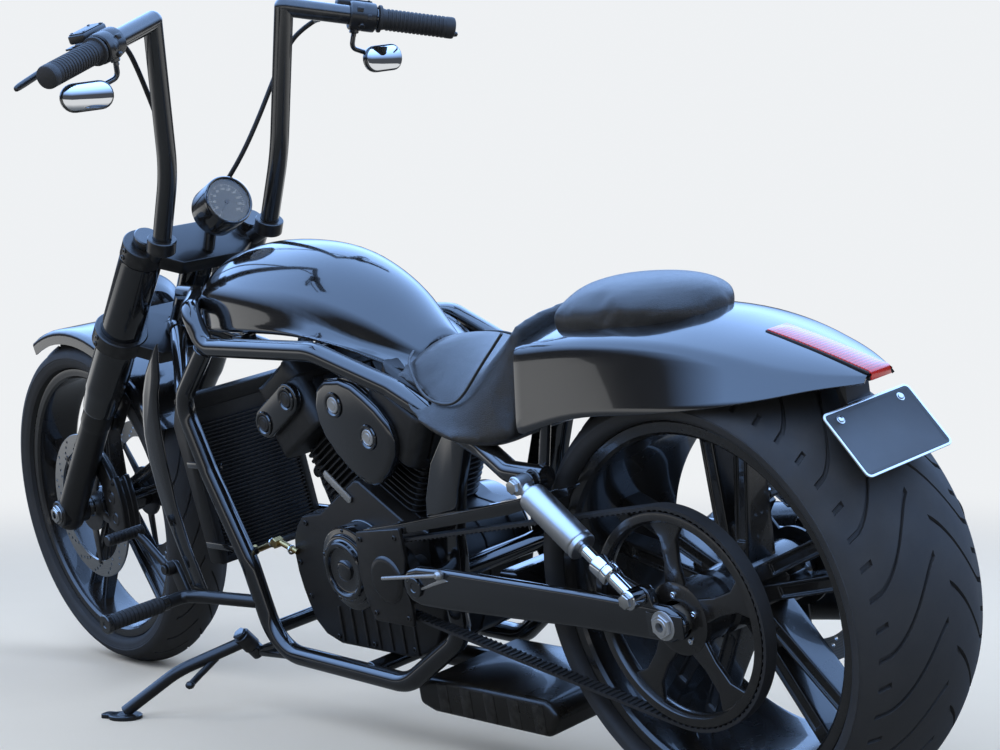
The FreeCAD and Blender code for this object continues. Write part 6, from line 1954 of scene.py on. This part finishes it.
footTop = mm(368.35, 342.78, 80.58)
knee = mm(300.17, 261.39, 138.29)
tangRoot = standPivot + (footTop - standPivot) * 0.25
padPlace = Matrix(((0.866025, -0.5, -0.0010805, 0.368361), (0.489422, 0.848141, -0.202787, 0.345215),
                   (0.10231, 0.17509, 0.979222, 0.0688282), (0, 0, 0, 1)))
pad = latheAbout([
    (0, 0), (28.6, 0), (30, 1.4), (30, 6.4), (28.4, 8), (15, 8), (14, 9), (0, 9)],
    mm(0, 0, 0), "Z", 48, "standPad")
toe = roundedPlate(44, 30, 8, 0, 8, "standToe", 1.6)
toe.data.transform(Matrix.Translation(mm(22, 0, 0)))
pad = joinAll([pad, toe], "standPad")
pad.data.transform(padPlace)
standParts = [turnedPiece([(6.3, -16), (14.8, -16), (16, -14.8), (16, 14.8), (14.8, 16), (6.3, 16), (6.3, -16)],
                          standPivot, standWay, 40, "standEye"),
              bentTube([mm(236.1, 158.6, 166.2), knee, footTop], 0.011, [0.160], "standLeg", 14, 8),
              bentTube([tangRoot, mm(258, 246, 130), mm(252, 270, 122)], 0.006, [0.020], "standTang", 8, 5),
              latheAbout([(0, -7), (5, -6), (8, -2.6), (8.6, 0), (8, 2.6), (5, 6), (0, 7)], mm(252, 270, 122),
                         "Z", 28, "tangBall"), pad]
settle(joinAll(standParts, "sideStand"), "side_stand", "satinBlack")
print("stage: frame and stand")


# ---- exhaust: black pipes with collars, the rounded belly box, two stacked cans on the right
cans = {"lower": ((-600, -250, 219), (-1020, -264, 262)), "upper": ((-560, -248, 318), (-1020, -264, 365)),
        "radius": 42}
upperStart, lowerStart = mm(*cans["upper"][0]), mm(*cans["lower"][0])
upperWay = (mm(*cans["upper"][1]) - upperStart).normalized()
lowerWay = (mm(*cans["lower"][1]) - lowerStart).normalized()
pipes = [
    bentTube([
        mm(99, -30, 536.7), mm(152, -30, 505.7), mm(156, -56, 400), mm(152, -62, 235), mm(66, -62, 112),
        mm(-190, -62, 112)], 0.020, [0.024, 0.090, 0.090, 0.060], "frontHeader", 14, 8),
    bentTube([
        mm(-252, -112.5, 588), mm(-252, -200, 588), mm(-270, -206, 420), upperStart - upperWay * 0.180,
        upperStart + upperWay * 0.004], 0.020, [0.040, 0.060, 0.060], "rearHeader", 14, 8),
    bentTube([
        mm(-420, -80, 116), mm(-450, -160, 128), lowerStart - lowerWay * 0.080, lowerStart + lowerWay * 0.004],
        0.020, [0.030, 0.030], "mufflerLink", 14, 8),
    slab([
        (-184, 94), (-184, 130), (-220, 146), (-500, 146), (-512, 140), (-528, 122), (-500, 84), (-220, 84)],
        -104, 104, "bellyBox", 11, 5)]
for index in range(5):
    x = -240 - index * 58
    pipes.append(slab([(x, 90), (x - 26, 90), (x - 26, 138), (x, 138)], 102.5, 105, "boxRib", 1))
pipes.append(turnedPiece([(20, 0), (25, 0), (27, 1.5), (27, 7), (25, 8.5), (20, 8.5)], mm(128, -30, 519.7),
                         Vector((-0.863, 0, 0.505)), 40, "portRing"))
pipes.append(latheAbout([(20, -122), (25, -122), (27, -123.5), (27, -129), (25, -130.5), (20, -130.5)],
                        mm(-252, 0, 588), "Y", 40, "portRing"))
settle(joinAll(pipes, "exhaustPipes"), "exhaust_pipes", "exhaustBlack", 34)
canParts = []
for key, start, way in (("upper", upperStart, upperWay), ("lower", lowerStart, lowerWay)):
    length = (mm(*cans[key][1]) - start).length * 1000
    r = cans["radius"]
    profile = [
        (20.3, 0.4), (23.6, 0.4), (26, 3), (r - 2, 32), (r, 36), (r, 66), (r - 1.2, 67.4), (r - 1.2, 71),
        (r, 72.4), (r, length - 56), (r - 1.2, length - 54.6), (r - 1.2, length - 51), (r, length - 49.6),
        (r, length - 3), (r - 0.8, length - 0.8), (r - 3, length), (r - 4.6, length - 1.4), (r - 5, length - 5),
        (r - 5, length - 58), (0, length - 58)]
    canParts.append(turnedPiece(profile, start, way, 72, key + "Can"))
    for step in (0.30, 0.72):
        spot = start + way * (length * step / 1000)
        canParts.append(turnedPiece([(r - 0.5, -5), (r + 1, -5), (r + 1.6, -4), (r + 1.6, 4), (r + 1, 5),
                                     (r - 0.5, 5)], spot, way, 72, key + "Strap"))
settle(joinAll(canParts, "mufflers"), "mufflers", "exhaustBlack")
print("stage: exhaust")


# ---- calipers: two halves over the disc, bridge, pads' covers, bolts and a mounting lug
def caliper(centre, radii, angles, ys, disc, lugRadii, lugAngles, lugYs, out, name):
    def sector(r0, r1, a0, a1):
        spots = arcPoints((centre.x * 1000, centre.z * 1000), r1, a0, a1, 9)
        return spots + arcPoints((centre.x * 1000, centre.z * 1000), r0, a1, a0, 9)
    gap = 4.2
    parts = [
        slab(sector(radii[0], radii[1], *angles), ys[0], disc - gap, name + "Inner", 3, 3),
        slab(sector(radii[0], radii[1], *angles), disc + gap, ys[1], name + "Outer", 3, 3),
        slab(
            sector(radii[1] - 12, radii[1] - 1, angles[0] + 3, angles[1] - 3), ys[0] + 3, ys[1] - 3,
            name + "Bridge", 3, 3),
        slab(sector(lugRadii[0], lugRadii[1], *lugAngles), lugYs[0], lugYs[1], name + "Lug", 2, 3)]
    face = ys[1] if out > 0 else ys[0]
    middle = (angles[0] + angles[1]) / 2
    for angle in (middle - 9, middle + 9):
        x, z = arcPoints((centre.x * 1000, centre.z * 1000), (radii[0] + radii[1]) / 2, angle, angle, 2)[0]
        parts.append(latheAbout([
            (0, 0), (12, 0), (14, out * 0.8), (12, out * 2.6), (9, out * 2.6), (8, out * 1.6), (0, out * 1.6)],
            mm(x, face - out * 0.6, z), "Y", 40, name + "Piston"))
    for angle in (angles[0] + 4, angles[1] - 4):
        x, z = arcPoints((centre.x * 1000, centre.z * 1000), radii[1] - 9, angle, angle, 2)[0]
        parts.append(bolt(mm(x, face, z), (0, out, 0), 4.4, name + "Bolt"))
    return joinAll(parts, name)


rearCaliper = caliper(
    rearAxle, (104, 160), (30, 70), (-126, -80), -98.8, (110, 152), (6, 42), (-163.6, -118), -1, "rearCaliper")
settle(rearCaliper, "rear_caliper", "satinBlack")
frontCaliper = bothSides(caliper(frontAxle, (106, 170), (154, 198), (46.8, 84.4), 64.8, (112, 158), (128, 160),
                                 (72.8, 84.6), 1, "frontCaliper"), "frontCalipers")
settle(frontCaliper, "front_calipers", "satinBlack")


# ---- forward controls: ribbed pegs, bent arms, levers with ribbed ends
peg = {"spot": (350, 226, 250), "hub": (376, 196, 302)}


def ribbed(radius, low, high, pitch, depth):
    profile = []
    at = low
    while at + pitch <= high:
        profile += [(radius, at), (radius, at + pitch * 0.62), (radius - depth, at + pitch * 0.72),
                    (radius - depth, at + pitch * 0.92)]
        at += pitch
    return profile


pegSpot = mm(*peg["spot"])
pegRubber = latheAbout([(0, 14), (12, 14)] + ribbed(15, 16, 121, 8, 1.6) + [(13, 122), (0, 122)], pegSpot, "Y",
                       48, "pegRubber")
settle(bothSides(pegRubber, "pegRubber"), "foot_pegs", "softRubber")
pegEnds = [
    latheAbout([(0, 0.4), (12, 0.4), (13.4, 1.6), (13.4, 14), (0, 14)], pegSpot, "Y", 40, "pegRoot"),
    latheAbout([
        (0, 122), (16.6, 122), (18, 123.4), (18, 130.4), (16.4, 132), (6, 132), (5, 130.6), (0, 130.6)],
        pegSpot, "Y", 48, "pegEnd")]
settle(bothJoined(pegEnds, "pegEnds"), "foot_pegs", "frameBlack")
hub = mm(*peg["hub"])
armParts = [
    bentTube([
        mm(176, 134, 240), mm(300, 176, 250), mm(350, 190, 250), mm(350, 225.7, 250)],
        0.012, [0.060, 0.020], "controlArm", 12, 8),
    slab([
        (334, 246), (366, 240), (378, 268), (390, 300), (386, 310), (377, 315), (368, 313), (362, 306)],
        178, 188, "controlCheek", 2.2, 3),
    latheAbout([
        (0, -9), (5, -9), (5, 8.6), (8.4, 8.6), (9, 9.4), (9, 11), (8, 12), (0, 12)],
        hub, "Y", 24, "controlPin")]
settle(bothJoined(armParts, "controlArms"), "foot_control_arms", "satinBlack")
leverParts = [
    latheAbout([(5.4, -7), (12, -7), (13, -6), (13, 6), (12, 7), (5.4, 7), (5.4, -7)], hub, "Y", 36, "footHub"),
    bentTube([mm(383, 197.6, 310), mm(420, 206, 350), mm(436, 216, 372)], 0.007, [0.050], "footLever", 10, 6),
    latheAbout(
        [(0, -16), (9, -16), (10, -15)] + ribbed(11, -14, 56, 7, 1.2) + [(10, 58), (9, 60), (0, 60)],
        mm(436, 216, 372), "Y", 36, "footToe")]
settle(bothJoined(leverParts, "footLevers"), "foot_levers", "satinBlack")
print("stage: calipers and forward controls")


# ---- radiator with its fins and end tanks, and the crowned shrouds
core = [(372, 604), (398, 548), (360, 290), (318, 290), (350, 548), (334, 604)]
coolParts = [slab([(368, 600), (393, 548), (356, 294), (323, 294), (355, 548), (340, 600)], -100, 100,
                  "radiatorCore", 2)]
for y in (100, -118):
    coolParts.append(slab(core, y, y + 18, "radiatorTank", 4, 3))
coolParts.append(slab([(372, 604), (386, 574), (343, 574), (334, 604)], -117, 117, "radiatorTop", 4, 3))
coolParts.append(slab([(362, 306), (360, 290), (318, 290), (320, 306)], -117, 117, "radiatorFoot", 4, 3))
finCount = 36
for low, high in (((319.5, 302), (351, 548)), ((361, 302), (396.5, 548))):
    for index in range(finCount):
        t = (index + 0.5) / finCount
        fin = boxOf((0.0072, 0.2, 0.0016), "radiatorFin")
        fin.data.transform(Matrix.Translation(mm(low[0] + (high[0] - low[0]) * t, 0,
                                                 low[1] + (high[1] - low[1]) * t)))
        coolParts.append(fin)
settle(joinAll(coolParts, "radiator"), "radiator", "engineBlack")
shroudLine = [
    (306, 716), (332, 694), (360, 664), (384, 626), (400, 584), (408, 548), (409, 500), (402, 440), (388, 390),
    (366, 330), (338, 262), (300, 262), (330, 340), (348, 420), (353, 490), (352, 552), (348, 588), (338, 622),
    (322, 650)]
shroud = slab(shroudLine, 169, 174, "shroud", 0)
insetPicked(shroud, lambda co, n: n.y > 0.9, (0.006, 0.003), (0.006, 0.001))
bevelEdges(shroud, 0.0014, 3, 20)
settle(bothSides(shroud, "shrouds"), "radiator_shrouds", "glossPaint", 30)
coolPipe = [bentTube([mm(95, 100, 330), mm(144, 104, 347), mm(196, 108, 330), mm(240, 104, 318)], 0.0055,
                     [0.020, 0.030], "coolPipe", 10, 6)]
for x, z in ((144, 345), (228, 322)):
    coolPipe.append(latheAbout(
        [(0, -9), (8.6, -9), (9.6, -8), (9.6, 8), (8.6, 9), (0, 9)], mm(x, 106, z), "Y", 6, "coolNut"))
settle(joinAll(coolPipe, "coolPipe"), "radiator", "brassFitting")
clips = [wireLoop(mm(x, 104, z), (1, 0, 0), 6.6, 2.0, "hoseClip", 32) for x, z in ((163, 342), (107, 334))]
settle(joinAll(clips, "hoseClips"), "radiator", "chrome")


# ---- fork clamps: bored ends, bridges, bar risers and pinch bolts
clamp = {"upper": (695, 29, 40, 21.4, 62), "lower": (481, 39, 50, 39.4, 78), "wall": 34}
clampParts = []
for low, leg, outer, bore, back in (clamp["upper"], clamp["lower"]):
    for sideSign in (1, -1):
        clampParts.append(turnedPiece([
            (bore, 0), (outer - 2, 0), (outer, 2), (outer, clamp["wall"] - 2), (outer - 2, clamp["wall"]),
            (bore, clamp["wall"]), (bore, 0)], onFork(low, sideSign * fork["half"]), forkUp, 56, "clampEnd"))
        for rise in (9, 25):
            clampParts.append(bolt(onFork(low + rise, sideSign * (fork["half"] + outer - 1)), (0, sideSign, 0),
                                   4.6, "pinchBolt", 0.7))
    outline = [(110, leg), (110, -leg), (62, -back), (-62, -back), (-110, -leg), (-110, leg), (-60, leg + 6),
               (60, leg + 6)]
    bridge = extruded([onFork(low + 2, across, ahead) for across, ahead in outline], forkUp * 0.030,
                      "clampBridge")
    bevelEdges(bridge, 0.003, 3)
    clear = turnedPiece([(0, -3), (40, -3), (40, 174.9), (0, 174.9)], headLow, steerUpright, 48, "headRoom")
    clampParts.append(carve(bridge, clear))
clampParts.append(rodBetween(
    headLow - steerUpright * 0.020, headLow + steerUpright * 0.195, 15, "steeringStem"))
barFirst = Vector((-0.4823671, 0.012694, 0.8758772))
risers = [
    turnedPiece([
        (17.4, 0), (24.4, 0), (26, 1.6), (26, 24.4), (24.4, 26), (17.4, 26), (17.4, 0)],
        barLow, barFirst, 48, "riser"),
    rodBetween(onFork(712, 104, -20), barLow + barFirst * 0.012, 15.8, "riserPost")]
clampParts.append(bothJoined(risers, "risers"))
settle(joinAll(clampParts, "tripleClamps"), "triple_clamps", "satinBlack")
for hose, ends in hoses:
    hose.data.materials.append(finish["softRubber"])
    ends.data.materials.append(finish["plugGrey"])
print("stage: radiator and clamps")


# ---- plate bracket: a merged copy of its solid with bevelled edges stands in for it
bracket = {"node": "plate_bracket", "merge": 0.00001, "flat": 0.6, "bevel": 0.0008}


def addBracket():
    source = frame["nodes"][bracket["node"]]
    startFresh()
    twin = source.copy()
    twin.data = source.data.copy()
    twin.name = "smooth_plate_bracket"
    twin.parent = None
    for key in list(twin.keys()):
        del twin[key]
    scene.collection.objects.link(twin)
    openMesh(twin)
    bpy.ops.mesh.select_all(action="SELECT")
    bpy.ops.mesh.remove_doubles(threshold=bracket["merge"])
    bpy.ops.mesh.customdata_custom_splitnormals_clear()
    bpy.ops.mesh.dissolve_limited(angle_limit=bracket["flat"] * degree)
    closeMesh()
    bevelEdges(twin, bracket["bevel"], 2, 32)
    settle(twin, bracket["node"], "satinBlack", 30, placed=False)


addBracket()
print("stage: plate bracket")
